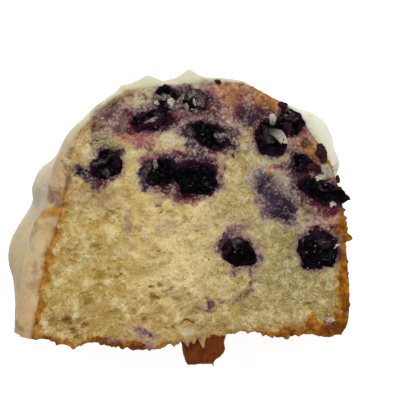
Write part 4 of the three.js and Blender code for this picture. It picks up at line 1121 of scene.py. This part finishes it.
def scrap_piece(name, outline, shape, finish):
    """A flap of crust: an outline made thick, with rounded edges, leaned back and a little curled."""
    places = spline(outline + outline[:1], SCRAP_DIVISIONS)[0][:-1]
    ragged = cloud("scrap_edge", places[:, 0], places[:, 1])
    loop_u, loop_h = places[:, 0] + ragged, places[:, 1] - ragged
    if np.sum(loop_u * np.roll(loop_h, -1) - np.roll(loop_u, -1) * loop_h) < 0:
        loop_u, loop_h = loop_u[::-1], loop_h[::-1]
    u, h, triangles = fill_loop(loop_u, loop_h, SCRAP_STEP, SCRAP_SEED)
    rim = np.arange(len(loop_u))
    edge, _, _ = loop_distance(u, h, loop_u, loop_h)
    edge[rim] = 0
    radius = shape["thickness"] * 0.4
    eased = radius * (1 - quarter_round(edge / radius))
    lean = shape["lean"] * np.minimum(0, h)
    bent = shape["curl"] * np.sin((u - u.mean()) / 3.2) + cloud("scrap_bends", u, h)
    upper = shape["thickness"] - shape["below"] + lean + bent - eased + cloud("scrap_grain", u, h)
    lower = -shape["below"] + lean + bent + eased
    points = np.vstack([on_face(u, h, upper), on_face(u, h, lower)])
    faces = [triangles, triangles[:, ::-1] + len(u), strip_faces(rim + len(u), rim)]
    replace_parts(make_piece(name, points, faces, finish, {"edge": np.tile(edge, 2)}), "cake")


def lump_group(name, lumps, finish, jagged):
    """Small lumps lying on the face, as one piece, with a mark that grows along each of them."""
    unit, triangles = ball(4)
    x, y, z = unit.T
    points, faces = [], []
    for number, (at_u, at_h, lift, half_length, half_width, thickness, turn) in enumerate(lumps):
        swell = 1 + jagged * fractal(1.5 * x + 7 * number, 1.5 * y, 1.5 * z, 3)
        bent = 0.5 * jagged * half_length * noise(1.2 * x + 3 * number, 0.0, 0.0)
        c, s = math.cos(math.radians(turn)), math.sin(math.radians(turn))
        across, up = half_length * x * swell, half_width * y * swell + bent
        u, h = at_u + c * across - s * up, at_h + s * across + c * up
        points.append(on_face(u, h, broad_lift(u, h) + lift + thickness * z * swell))
        faces.append(triangles + number * len(unit))
    make_piece(name, np.vstack(points), faces, finish, {"along": np.tile(x, len(lumps))})


# ---- Finishes ----

class Shade:
    """A socket of a node tree that takes + - * / with numbers and with other sockets."""

    def __init__(self, works, socket):
        self.works = works
        self.socket = socket

    def worked(self, operation, *values):
        return self.works.node("ShaderNodeMath", {"operation": operation}, dict(enumerate(values)))

    def __add__(self, other):
        return self.worked("ADD", self, other)

    def __sub__(self, other):
        return self.worked("SUBTRACT", self, other)

    def __rsub__(self, other):
        return self.worked("SUBTRACT", other, self)

    def __mul__(self, other):
        return self.worked("MULTIPLY", self, other)

    def __rtruediv__(self, other):
        return self.worked("DIVIDE", other, self)

    __radd__ = __add__
    __rmul__ = __mul__

    def clamped(self):
        return self.works.node("ShaderNodeClamp", {}, {"Value": self})

    def stepped(self, low, high):
        """0 at low and 1 at high, smoothly."""
        settings = {"interpolation_type": "SMOOTHSTEP"}
        sockets = {"Value": self, "From Min": low, "From Max": high}
        return self.works.node("ShaderNodeMapRange", settings, sockets)

    def beside(self, output):
        """Another output of the same node."""
        return Shade(self.works, self.works.socket_of(self.socket.node.outputs, output))


class Works:
    """A tree of nodes, filled by one method."""

    def __init__(self, tree):
        self.tree = tree

    def node(self, kind, settings=None, sockets=None, output=0):
        """Adds a node: its settings first, then numbers or links on its sockets. Gives one output."""
        made = self.tree.nodes.new(kind)
        for name, value in (settings or {}).items():
            if name == "stops":
                self.set_stops(made.color_ramp.elements, value)
            else:
                setattr(made, name, value)
        for name, value in (sockets or {}).items():
            self.feed(self.socket_of(made.inputs, name), value)
        return Shade(self, self.socket_of(made.outputs, output)) if len(made.outputs) else made

    def set_stops(self, line, stops):
        """Sets the line of a ramp to stops of (place, red, green, blue)."""
        while len(line) < len(stops):
            line.new(0.5)
        for spot, (at, *colour) in zip(line, stops):
            spot.position = at
            spot.color = (*srgb(*colour), 1)

    def socket_of(self, sockets, name):
        if isinstance(name, int):
            return sockets[name]
        fits = [socket for socket in sockets if name in (socket.identifier, socket.name)]
        return next((socket for socket in fits if socket.enabled), fits[0])

    def feed(self, socket, value):
        if isinstance(value, Shade):
            self.tree.links.new(value.socket, socket)
        elif isinstance(value, tuple) and len(value) == 3 and len(socket.default_value) == 4:
            socket.default_value = (*value, 1)
        else:
            socket.default_value = value

    def vector(self, operation, sockets):
        return self.node("ShaderNodeVectorMath", {"operation": operation}, sockets, "Vector")

    def scaled(self, vector, amount):
        return self.vector("SCALE", {"Vector": vector, "Scale": amount})


class Finish(Works):
    """A material made of nodes. Its colours go from 0 to 255."""

    def __init__(self, name):
        self.material = bpy.data.materials.new(name)
        self.material.use_nodes = True
        super().__init__(self.material.node_tree)
        self.tree.nodes.clear()
        self.place = self.scaled(self.node("ShaderNodeTexCoord", output="Object"), MM)

    def mark(self, name, output="Fac"):
        return self.node("ShaderNodeAttribute", {"attribute_name": name}, output=output)

    def noise(self, size, detail=3, stretch=None):
        """Cloudy noise from 0 to 1, with lumps of a size in millimetres."""
        place = self.vector("MULTIPLY", {0: self.place, 1: stretch}) if stretch else self.place
        sockets = {"Vector": place, "Scale": 1 / size, "Detail": detail, "Roughness": 0.55}
        return self.node("ShaderNodeTexNoise", {}, sockets, "Fac")

    def cells(self, size):
        """How far each place is from the nearest middle of cells of a size in millimetres, in cells."""
        return self.node("ShaderNodeTexVoronoi", {}, {"Vector": self.place, "Scale": 1 / size}, "Distance")

    def mix(self, share, first, second):
        first, second = (srgb(*tone) if isinstance(tone, tuple) else tone for tone in (first, second))
        settings = {"data_type": "RGBA", "clamp_factor": True}
        sockets = {"Factor_Float": share, "A_Color": first, "B_Color": second}
        return self.node("ShaderNodeMix", settings, sockets, "Result_Color")

    def layered(self, colour, layers):
        """A colour with others laid over it one by one, each by its share."""
        for share, over in layers:
            colour = self.mix(share, colour, over)
        return colour

    def ramp(self, value, stops):
        """A colour that goes through stops of (place, red, green, blue)."""
        return self.node("ShaderNodeValToRGB", {"stops": stops}, {"Fac": value}, "Color")

    def surface(self, constants, **sockets):
        """Closes the finish: one surface with its constants, then what changes over it."""
        changing = {name.replace("_", " "): value for name, value in sockets.items()}
        closed = self.node("ShaderNodeBsdfPrincipled", {}, {**constants, **changing})
        self.node("ShaderNodeOutputMaterial", {}, {"Surface": closed})
        return self.material

    def bumped(self, height, distance):
        """A normal for relief too fine for the mesh: its height from 0 to 1, its depth in millimetres."""
        return self.node("ShaderNodeBump", {}, {"Height": height, "Distance": distance / MM}, "Normal")


def strewing_tree(name, labels, finish, fineness):
    """Nodes that strew crumbs over faces, thickest where their mark "room" is 1, and their inputs."""
    tree = bpy.data.node_groups.new(name, "GeometryNodeTree")
    works = Works(tree)

    def opening(label, kind, way="INPUT"):
        return tree.interface.new_socket(label, in_out=way, socket_type="NodeSocket" + kind)

    def geometry(kind, settings=None, output="Geometry", **sockets):
        sockets = {label.replace("_", " "): value for label, value in sockets.items()}
        return works.node("GeometryNode" + kind, settings, sockets, output)

    def chance(low, high, step, kind="FLOAT"):
        sockets = {"Min": low, "Max": high, "Seed": given["Seed"] + step}
        return works.node("FunctionNodeRandomValue", {"data_type": kind}, sockets, "Value")

    opening("Carrier", "Geometry")
    named = {label: opening(label, "Float") for label in labels}
    named["Seed"] = opening("Seed", "Int")
    opening("Crumbs", "Geometry", "OUTPUT")
    entry = tree.nodes.new("NodeGroupInput")
    given = {socket.name: Shade(works, socket) for socket in entry.outputs if socket.name}
    spacing = given["Spacing"]

    points = geometry(
        "DistributePointsOnFaces", {"distribute_method": "POISSON"}, "Points", Mesh=given["Carrier"],
        Distance_Min=spacing, Density_Max=2.0 / (spacing * spacing), Seed=given["Seed"],
        Density_Factor=geometry("InputNamedAttribute", {"data_type": "FLOAT"}, "Attribute", Name="room"),
    )
    normal, rotation = points.beside("Normal"), points.beside("Rotation")
    points = geometry("SetPosition", Geometry=points, Offset=works.scaled(normal, 0 - given["Sunk"]))
    small = chance(0.0, 1.0, 1)
    size = given["Smallest"] + (given["Largest"] - given["Smallest"]) * small * small
    scale = works.node("ShaderNodeCombineXYZ", {}, {
        "X": size * chance(0.75, 1.35, 2), "Y": size * chance(0.7, 1.0, 3), "Z": size * given["Flatness"],
    })
    spin = chance((0.0, 0.0, 0.0), (0.6, 0.6, 6.28), 4, "FLOAT_VECTOR")
    spin = works.node("FunctionNodeEulerToRotation", {}, {"Euler": spin})
    turned = works.node(
        "FunctionNodeRotateRotation", {"rotation_space": "LOCAL"}, {"Rotation": rotation, "Rotate By": spin}
    )
    crumb = geometry("MeshIcoSphere", {}, "Mesh", Radius=1.0, Subdivisions=fineness)
    strewn = geometry(
        "InstanceOnPoints", {}, "Instances", Points=points, Instance=crumb, Rotation=turned, Scale=scale
    )
    stored = {"data_type": "FLOAT", "domain": "INSTANCE"}
    # A random depth for each crumb: the crumb finish gives the shallow ones painted crest light and the
    # deep ones painted pit shade.
    deep = chance(0.0, 0.42, 5)
    strewn = geometry("StoreNamedAttribute", stored, Geometry=strewn, Name="deep", Value=deep)
    strewn = geometry("RealizeInstances", Geometry=strewn)
    place = works.scaled(geometry("InputPosition", {}, 0), 1 / given["Crumble Size"])
    clouds = works.node("ShaderNodeTexNoise", {}, {"Vector": place, "Scale": 1.0, "Detail": 2.0}, "Color")
    crumbling = works.scaled(works.vector("SUBTRACT", {0: clouds, 1: (0.5, 0.5, 0.5)}), given["Crumbling"])
    strewn = geometry("SetPosition", Geometry=strewn, Offset=crumbling)
    strewn = geometry("SetShadeSmooth", Geometry=strewn)
    strewn = geometry("SetMaterial", Geometry=strewn, Material=finish)
    works.node("NodeGroupOutput", {}, {"Crumbs": strewn})
    return tree, named


def strew(name, carriers, sizes, finish, fineness, seed):
    """Strews crumbs over the faces of a mesh, as one piece of real mesh."""
    tree, named = strewing_tree(name, sizes, finish, fineness)
    carrier = bpy.data.objects.new(name + "_carrier", carriers)
    bpy.context.scene.collection.objects.link(carrier)
    strewing = carrier.modifiers.new("strewing", "NODES")
    strewing.node_group = tree
    for label, value in {**{label: size / MM for label, size in sizes.items()}, "Seed": seed}.items():
        strewing[named[label].identifier] = value
    strewing[named["Flatness"].identifier] = sizes["Flatness"]  # a share, not a length
    bpy.context.view_layer.update()
    mesh = bpy.data.meshes.new_from_object(carrier.evaluated_get(bpy.context.evaluated_depsgraph_get()))
    mesh.name = name
    carrier.modifiers.remove(strewing)
    bpy.data.objects.remove(carrier)
    place_piece(name, mesh)


def crumb_tones(f, across, up, deep, grain, fine):
    """Yellow open crumb, paler and greyer towards the tube."""
    broad, patch, hue, clump = f.noise(6.5, 2), f.noise(3.6, 5), f.noise(2.4, 4), f.noise(1.7, 3)
    strands = f.noise(0.75, 4, stretch=(1.5, 0.7, 1.5))
    wisps = f.noise(0.42, 4, stretch=(1.7, 0.8, 1.7))
    inner = across.stepped(0.35, 0.62)
    low = (up + (broad - 0.5) * 0.2).stepped(0.26, 0.04)
    low_share = 0.58 + across.stepped(0.25, 0.45) * 0.3 - across.stepped(0.6, 0.8) * 0.4
    high = (up + (broad - 0.5) * 0.3).stepped(0.66, 0.95)
    # Painted shade in the pits and hollows, and painted light on the crests between them, both led by the
    # mark deep.
    painted_pit_shade = (deep + (grain - 0.5) * 0.6).stepped(0.32, 1.0)
    painted_crest_light = (0.4 - deep + (fine - 0.5) * 0.6).stepped(0.05, 0.45)
    tone = f.ramp(across + (broad - 0.5) * 0.2, [
        (0.04, 172, 144, 78), (0.26, 182, 155, 88), (0.46, 216, 192, 136), (0.62, 188, 169, 116),
        (0.8, 141, 132, 91), (1.0, 136, 121, 74),
    ])
    return f.layered(tone, [
        (low * low_share, (162, 128, 68)),
        (high * 0.6, (156, 150, 130)),
        (hue.stepped(0.52, 0.68) * up.stepped(0.8, 0.6) * 0.5, (206, 168, 130)),
        (hue.stepped(0.48, 0.32) * across.stepped(0.3, 0.5) * 0.7, (182, 160, 84)),
        (clump.stepped(0.46, 0.3) * inner * 0.6, (116, 104, 62)),
        (clump.stepped(0.54, 0.7) * inner * 0.55, (216, 208, 168)),
        (patch.stepped(0.5, 0.68) * 0.6, (218, 204, 158)),
        (patch.stepped(0.5, 0.32) * 0.5, (152, 124, 60)),
        (painted_pit_shade * 0.8, (136, 102, 38)),
        (painted_crest_light * 0.5, (224, 208, 156)),
        (strands.stepped(0.46, 0.3) * inner * 0.65, (112, 98, 56)),
        (wisps.stepped(0.44, 0.32) * inner * 0.75, (96, 80, 44)),
        (wisps.stepped(0.56, 0.7) * inner * 0.4, (228, 218, 182)),
        (f.noise(2.0, 3).stepped(0.52, 0.68) * inner * 0.45, (182, 150, 78)),
        (f.mark("pale") * (0.45 + grain * 0.9), (196, 190, 166)),
    ])


def crusted(f, crumb, browned, wall, grain):
    """The crumb with its crust: golden beside it, browned on the walls and dark under the foot."""
    crust = f.ramp(f.noise(2.2, 4) + (grain - 0.5) * 0.5, [
        (0.25, 86, 42, 6), (0.42, 122, 68, 10), (0.56, 154, 94, 20), (0.72, 180, 122, 40),
    ])
    baked = f.ramp(f.noise(1.5, 5) + (f.noise(9, 3) - 0.5) * 0.9, [
        (0.3, 58, 28, 8), (0.5, 98, 54, 18), (0.68, 138, 88, 38),
    ])
    crust = f.layered(crust, [
        (wall * f.noise(7, 3).stepped(0.4, 0.7) * 0.5, (186, 136, 66)),
        (f.mark("foot") * 0.85, baked),
    ])
    share = browned * (0.75 + grain * 0.6)
    golden = f.mix(0.7, crumb, (174, 112, 20))
    return f.layered(crumb, [(share.stepped(0.02, 0.5) * 0.9, golden), (share.stepped(0.35, 1.0), crust)])


def juiced(f, toned, stain, browned, deep):
    """The juice in the crumb: greyed round it, washed with its tint, mottled, and darkened in the pits as
    painted shade.
    """
    tint, mottle = f.mark("tint", "Color"), f.noise(1.0, 4)
    speckle = (f.noise(0.7, 5) + (f.noise(2.4, 2) - 0.5) * 0.5).stepped(0.28, 0.7)
    share = (stain * (0.52 + speckle * 0.8)).clamped()
    stained = stain.stepped(0.2, 0.5) * (1 - browned)
    light_tint = f.mix(0.42 - browned * 0.42, tint, (196, 160, 150))
    return f.layered(toned, [
        (stain.stepped(0.02, 0.5) * (1 - browned) * 0.45, (156, 136, 118)),
        (share.stepped(0.0, 0.55) * 0.9, light_tint),
        (mottle.stepped(0.48, 0.62) * stained * 0.8, f.mix(0.5, tint, (34, 14, 22))),
        (mottle.stepped(0.44, 0.32) * stained * 0.6, (196, 178, 158)),
        # Painted shade: the juice is darker where the crumb lies deep in a pit.
        (share.stepped(0.35, 0.95), f.mix(deep * 0.7, tint, (18, 10, 16))),
    ])


def crumb_finish():
    """Torn crumb with its crust, its juice and soaked icing."""
    f = Finish("torn_crumb_and_crust")
    across, up, deep, wall, stain = (f.mark(name) for name in ("across", "up", "deep", "wall", "stain"))
    grain, fine = f.noise(1.2, 4), f.noise(0.4, 3)
    faint = f.noise(2.8, 3).stepped(0.47, 0.6) * across.stepped(0.22, 0.12) * (1 - wall)
    browned = f.mark("browned") * (1 - faint * 0.4)
    crumb = crumb_tones(f, across, up, deep, grain, fine)
    colour = juiced(f, crusted(f, crumb, browned, wall, grain), stain, browned, deep)
    return f.surface(
        {"Specular IOR Level": 0.06},
        Base_Color=f.scaled(colour, 0.72 + fine * 0.56),
        Roughness=0.9 - browned * 0.2 - stain * 0.25,
        Normal=f.bumped(fine * 0.6 + f.noise(0.2, 2) * 0.4, 0.35),
    )


def icing_section_tones(f, along, deep, broad):
    """The icing where the knife went through: beige, dull, with crumbs of cake and crust in it."""
    section = f.ramp(along + (broad - 0.5) * 0.08, [
        (0.02, 190, 161, 120), (0.17, 196, 172, 130), (0.24, 182, 152, 110), (0.3, 176, 150, 112),
        (0.46, 190, 183, 148), (0.6, 194, 190, 162), (0.9, 208, 205, 184),
    ])
    # The crumbs in the section are darker where the cut lies deep in a pit: partly painted shade.
    crusty = (f.noise(0.8, 4) + (deep - 0.34) * 0.5).stepped(0.36, 0.64)
    crumbs = f.mix(crusty, (190, 168, 126), (136, 104, 72))
    crumbs = f.mix(f.noise(0.55, 2).stepped(0.64, 0.72), crumbs, (80, 52, 36))
    return f.layered(section, [
        (f.noise(1.7, 3).stepped(0.45, 0.75) * 0.4, (206, 190, 160)),
        # Painted shade: the section is darker where it lies deep in a pit.
        (deep.stepped(0.5, 1.0) * 0.4, (150, 116, 70)),
        (f.mark("crumby") * 0.9, crumbs),
        (f.mark("near_crust") * f.noise(3.4, 3).stepped(0.4, 0.62), (156, 98, 30)),
    ])


def icing_finish():
    """Set poured icing: creamy and softly glossy outside, beige and dull where the knife went through."""
    f = Finish("poured_icing")
    along, behind, cut, deep = (f.mark(name) for name in ("along", "behind", "cut", "deep"))
    broad, fine = f.noise(5, 2), f.noise(0.5, 3)
    # Along the outer wall the icing is warmer and darker low down and greyer higher up: partly its own tone
    # over the golden crust, partly painted shade of the side turned from the light.
    outer = f.ramp(along + (broad - 0.5) * 0.06, [
        (0.02, 174, 150, 116), (0.12, 186, 166, 126), (0.19, 190, 174, 138), (0.25, 186, 177, 164),
        (0.34, 200, 190, 164), (0.46, 199, 193, 164), (0.6, 188, 185, 162), (0.9, 210, 209, 193),
    ])
    carried = (behind + (broad - 0.5) * 0.3).stepped(0.4, 0.0) * along.stepped(0.44, 0.32) * 0.8
    stained = (f.mark("stain") * (0.65 + f.noise(0.9, 3).stepped(0.35, 0.65) * 0.5)).clamped()
    outer_wall = along.stepped(0.34, 0.26) * behind.stepped(0.5, 0.25)
    fleck = f.cells(3.4).stepped(0.11, 0.05) * f.noise(9, 1).stepped(0.48, 0.6)
    colour = f.layered(outer, [
        (f.noise(2.6, 3).stepped(0.5, 0.8) * along.stepped(0.36, 0.28) * 0.35, (178, 156, 124)),
        (behind.stepped(0.3, 0.6) * 0.6, (206, 203, 184)),
        (1 - (1 - cut) * (1 - carried), icing_section_tones(f, along, deep, broad)),
        (stained * 0.95, f.mark("tint", "Color")),
        (f.noise(2.3, 4).stepped(0.5, 0.66) * outer_wall * 0.36, (150, 120, 90)),
        (f.noise(3.1, 3).stepped(0.54, 0.68) * outer_wall * 0.3, (206, 176, 112)),
        (fleck * 0.6, (160, 104, 70)),
    ])
    soft = {"Subsurface Weight": 0.15, "Subsurface Radius": (1.0, 0.85, 0.6), "Subsurface Scale": 0.0015}
    return f.surface(
        {"Specular IOR Level": 0.1, **soft},
        Base_Color=f.scaled(colour, 0.9 + (f.noise(0.35, 3) - 0.5) * 0.16),
        Roughness=0.55 + cut * 0.3 + (fine - 0.5) * 0.2,
        Normal=f.bumped(f.noise(1.6, 3) * 0.6 + fine * (0.1 + cut * 0.5), 0.22),
    )


def berry_finish():
    """Baked blueberry: wet and almost black, purple-red at its torn rim, veiled in places, with some grey
    patches that are painted highlights.
    """
    f = Finish("baked_blueberry")
    rim, torn = f.mark("rim"), f.mark("torn")
    patch, fine = f.noise(2.6, 3), f.noise(0.6, 3)
    flesh = f.mix(patch.stepped(0.45, 0.7), (1, 0, 1), (8, 4, 8))
    skin = f.mix(fine, (7, 6, 11), (20, 17, 26))
    juicy = f.mix(f.noise(2.4, 2).stepped(0.5, 0.7), (34, 20, 38), (62, 13, 28))
    # Grey veils of skin and juice, some of them painted highlights.
    veil_and_painted_sheen = (f.mark("smear") * (0.3 + f.noise(0.9, 4).stepped(0.35, 0.62) * 0.9)).clamped()
    wet = patch.stepped(0.55, 0.4) * (1 - rim)
    colour = f.layered(skin, [
        (torn, flesh),
        ((rim * (0.6 + fine * 0.8)).stepped(0.2, 0.95) * 0.9, juicy),
        (veil_and_painted_sheen * 0.8, f.mix(f.noise(1.4, 2), (74, 58, 68), (150, 132, 120))),
    ])
    return f.surface(
        {"Specular IOR Level": 0.02, "Coat Roughness": 0.06},
        Base_Color=colour, Roughness=0.6 - wet * 0.3 + veil_and_painted_sheen * 0.2, Coat_Weight=wet * 0.1,
        Normal=f.bumped(fine * 0.7 + f.noise(0.25, 2) * 0.3 + veil_and_painted_sheen * 0.4, 0.35),
    )


def fleck_finish():
    """Specks of crumb and skin that stuck to the torn berries: mauve-grey, some nearly white."""
    f = Finish("berry_flecks")
    height = f.noise(0.3, 3)
    tone = f.ramp(f.mark("deep") * 2.4, [
        (0.05, 128, 114, 112), (0.25, 84, 66, 72), (0.5, 40, 26, 36), (1.0, 12, 7, 12),
    ])
    return f.surface(
        {"Specular IOR Level": 0.1},
        Base_Color=tone, Roughness=0.4 + height * 0.3, Normal=f.bumped(height, 0.15),
    )


def tab_finish():
    """The foot's crust where it peeled off in a flap: smooth, brown and faintly banded."""
    f = Finish("peeled_crust")
    band = f.noise(1.3, 3, stretch=(1.6, 0.4, 1.6))
    edge = (f.mark("edge") + (f.noise(1.1, 2) - 0.5)).stepped(0.75, 0.1)
    colour = f.ramp(band + (f.noise(0.5, 2) - 0.5) * 0.25, [
        (0.25, 76, 30, 3), (0.5, 97, 44, 7), (0.75, 118, 58, 14),
    ])
    return f.surface(
        {"Specular IOR Level": 0.1},
        Base_Color=f.mix(edge * 0.45, colour, (142, 86, 34)), Roughness=0.55 + band * 0.25,
        Normal=f.bumped(band * 0.6 + f.noise(0.3, 3) * 0.4, 0.18),
    )


def lump_finish(name, dark, light, rough, graded):
    """Small stuck lumps: two tones, mottled, or graded from end to end, which paints shade at one end and
    highlight at the other.
    """
    f = Finish(name)
    mottle = (f.noise(0.8, 3) + f.noise(0.35, 3)) * 0.5
    spread = 0.1 + graded * 0.75
    share = (mottle + f.mark("along") * graded).stepped(0.5 - spread, 0.5 + spread)
    return f.surface(
        {"Specular IOR Level": 0.12}, Base_Color=f.mix(share, dark, light), Roughness=rough + mottle * 0.2,
        Normal=f.bumped(f.noise(0.35, 3), 0.2),
    )


def floor_finish():
    """Plain white ground that glows a little, so that shadows stay faint."""
    f = Finish("pale_floor")
    return f.surface(
        {"Specular IOR Level": 0.05, "Emission Color": (1.0, 1.0, 1.0), "Emission Strength": 0.75},
        Base_Color=0.62 + f.noise(180, 2) * 0.02, Roughness=0.85 + f.noise(90, 1) * 0.1,
    )


# ---- Floor, light and camera, in metres ----

FLOOR_HALF = 3
# Soft lights that face the slice's middle: name, place, side, power.
LIGHTS = [("window", (0.06, 0.44, 0.58), 0.36, 4.3), ("fill", (0.5, -0.3, 0.5), 0.6, 1.0)]
SLICE_MIDDLE = (0.01, 0.0, 0.025)
WORLD_STRENGTH = 0.42
CAMERA_TILT, CAMERA_DISTANCE = math.radians(11), 0.42
CAMERA_AIM = (46.9, 38.2)
SENSOR_WIDTH, FOCAL_LENGTH = 36, 135


def lay_floor():
    mesh = bpy.data.meshes.new("floor")
    corners = [(x * FLOOR_HALF, y * FLOOR_HALF, 0) for x, y in ((-1, -1), (1, -1), (1, 1), (-1, 1))]
    mesh.from_pydata(corners, [], [(0, 1, 2, 3)])
    mesh.materials.append(floor_finish())
    floor = bpy.data.objects.new("floor", mesh)
    bpy.context.scene.collection.objects.link(floor)


def add_light(name, place, side, power):
    lamp = bpy.data.lights.new(name, "AREA")
    lamp.size = side
    lamp.energy = power
    light = bpy.data.objects.new(name, lamp)
    light.location = place
    light.rotation_euler = (Vector(SLICE_MIDDLE) - Vector(place)).to_track_quat("-Z", "Y").to_euler()
    bpy.context.scene.collection.objects.link(light)


def set_stage():
    scene = bpy.context.scene
    scene.view_settings.view_transform = "Standard"
    world = bpy.data.worlds.new("soft_room")
    world.use_nodes = True
    background = world.node_tree.nodes["Background"]
    background.inputs["Color"].default_value = (1, 1, 1, 1)
    background.inputs["Strength"].default_value = WORLD_STRENGTH
    scene.world = world
    lay_floor()
    for light in LIGHTS:
        add_light(*light)


def place_camera():
    """Square on the shown face, but a little round towards the outer wall."""
    along_face = np.array([math.cos(SLICE_ANGLE), 0, -math.sin(SLICE_ANGLE)])
    back = math.cos(CAMERA_TILT) * OUT_OF_FACE - math.sin(CAMERA_TILT) * along_face
    right = np.cross((0, 1, 0), back)
    place = on_face(*np.array(CAMERA_AIM), 0) / MM + CAMERA_DISTANCE * back
    lens = bpy.data.cameras.new("camera")
    lens.sensor_width = SENSOR_WIDTH
    lens.lens = FOCAL_LENGTH
    camera = bpy.data.objects.new("camera", lens)
    turned = np.stack([right, (0, 1, 0), back, place], 1)
    camera.matrix_world = Matrix([*turned.tolist(), (0, 0, 0, 1)])
    bpy.context.scene.collection.objects.link(camera)
    bpy.context.scene.camera = camera


# ---- The slice ----

place_camera()
set_stage()
torn_crumb = crumb_finish()
shown_face = cake_piece(torn_crumb)
strew("coarse_crumbs", shown_face, COARSE_CRUMBS, torn_crumb, 2, 11)
strew("fine_crumbs", shown_face, FINE_CRUMBS, torn_crumb, 1, 12)
icing_piece(icing_finish())
berry_skin = berry_finish()
unit_ball, ball_triangles = ball(6)
berry_faces = [
    berry_piece(*numbered, unit_ball, ball_triangles, berry_skin) for numbered in enumerate(BERRIES)
]
flecked = plain_mesh(
    "berry_faces", np.vstack([points for points, _ in berry_faces]),
    [ball_triangles + number * len(unit_ball) for number in range(len(BERRIES))],
    {"room": np.concatenate([room for _, room in berry_faces])},
)
strew("stuck_flecks", flecked, BERRY_FLECKS, fleck_finish(), 2, 13)
peeled = tab_finish()
scrap_piece("crust_tab", TAB_OUTLINE, TAB, peeled)
scrap_piece("crust_sliver", SLIVER_OUTLINE, SLIVER, peeled)
for name, slot, lumps, jagged, *tones in LUMP_GROUPS:
    lump_group(name, lumps, lump_finish(*tones), jagged)
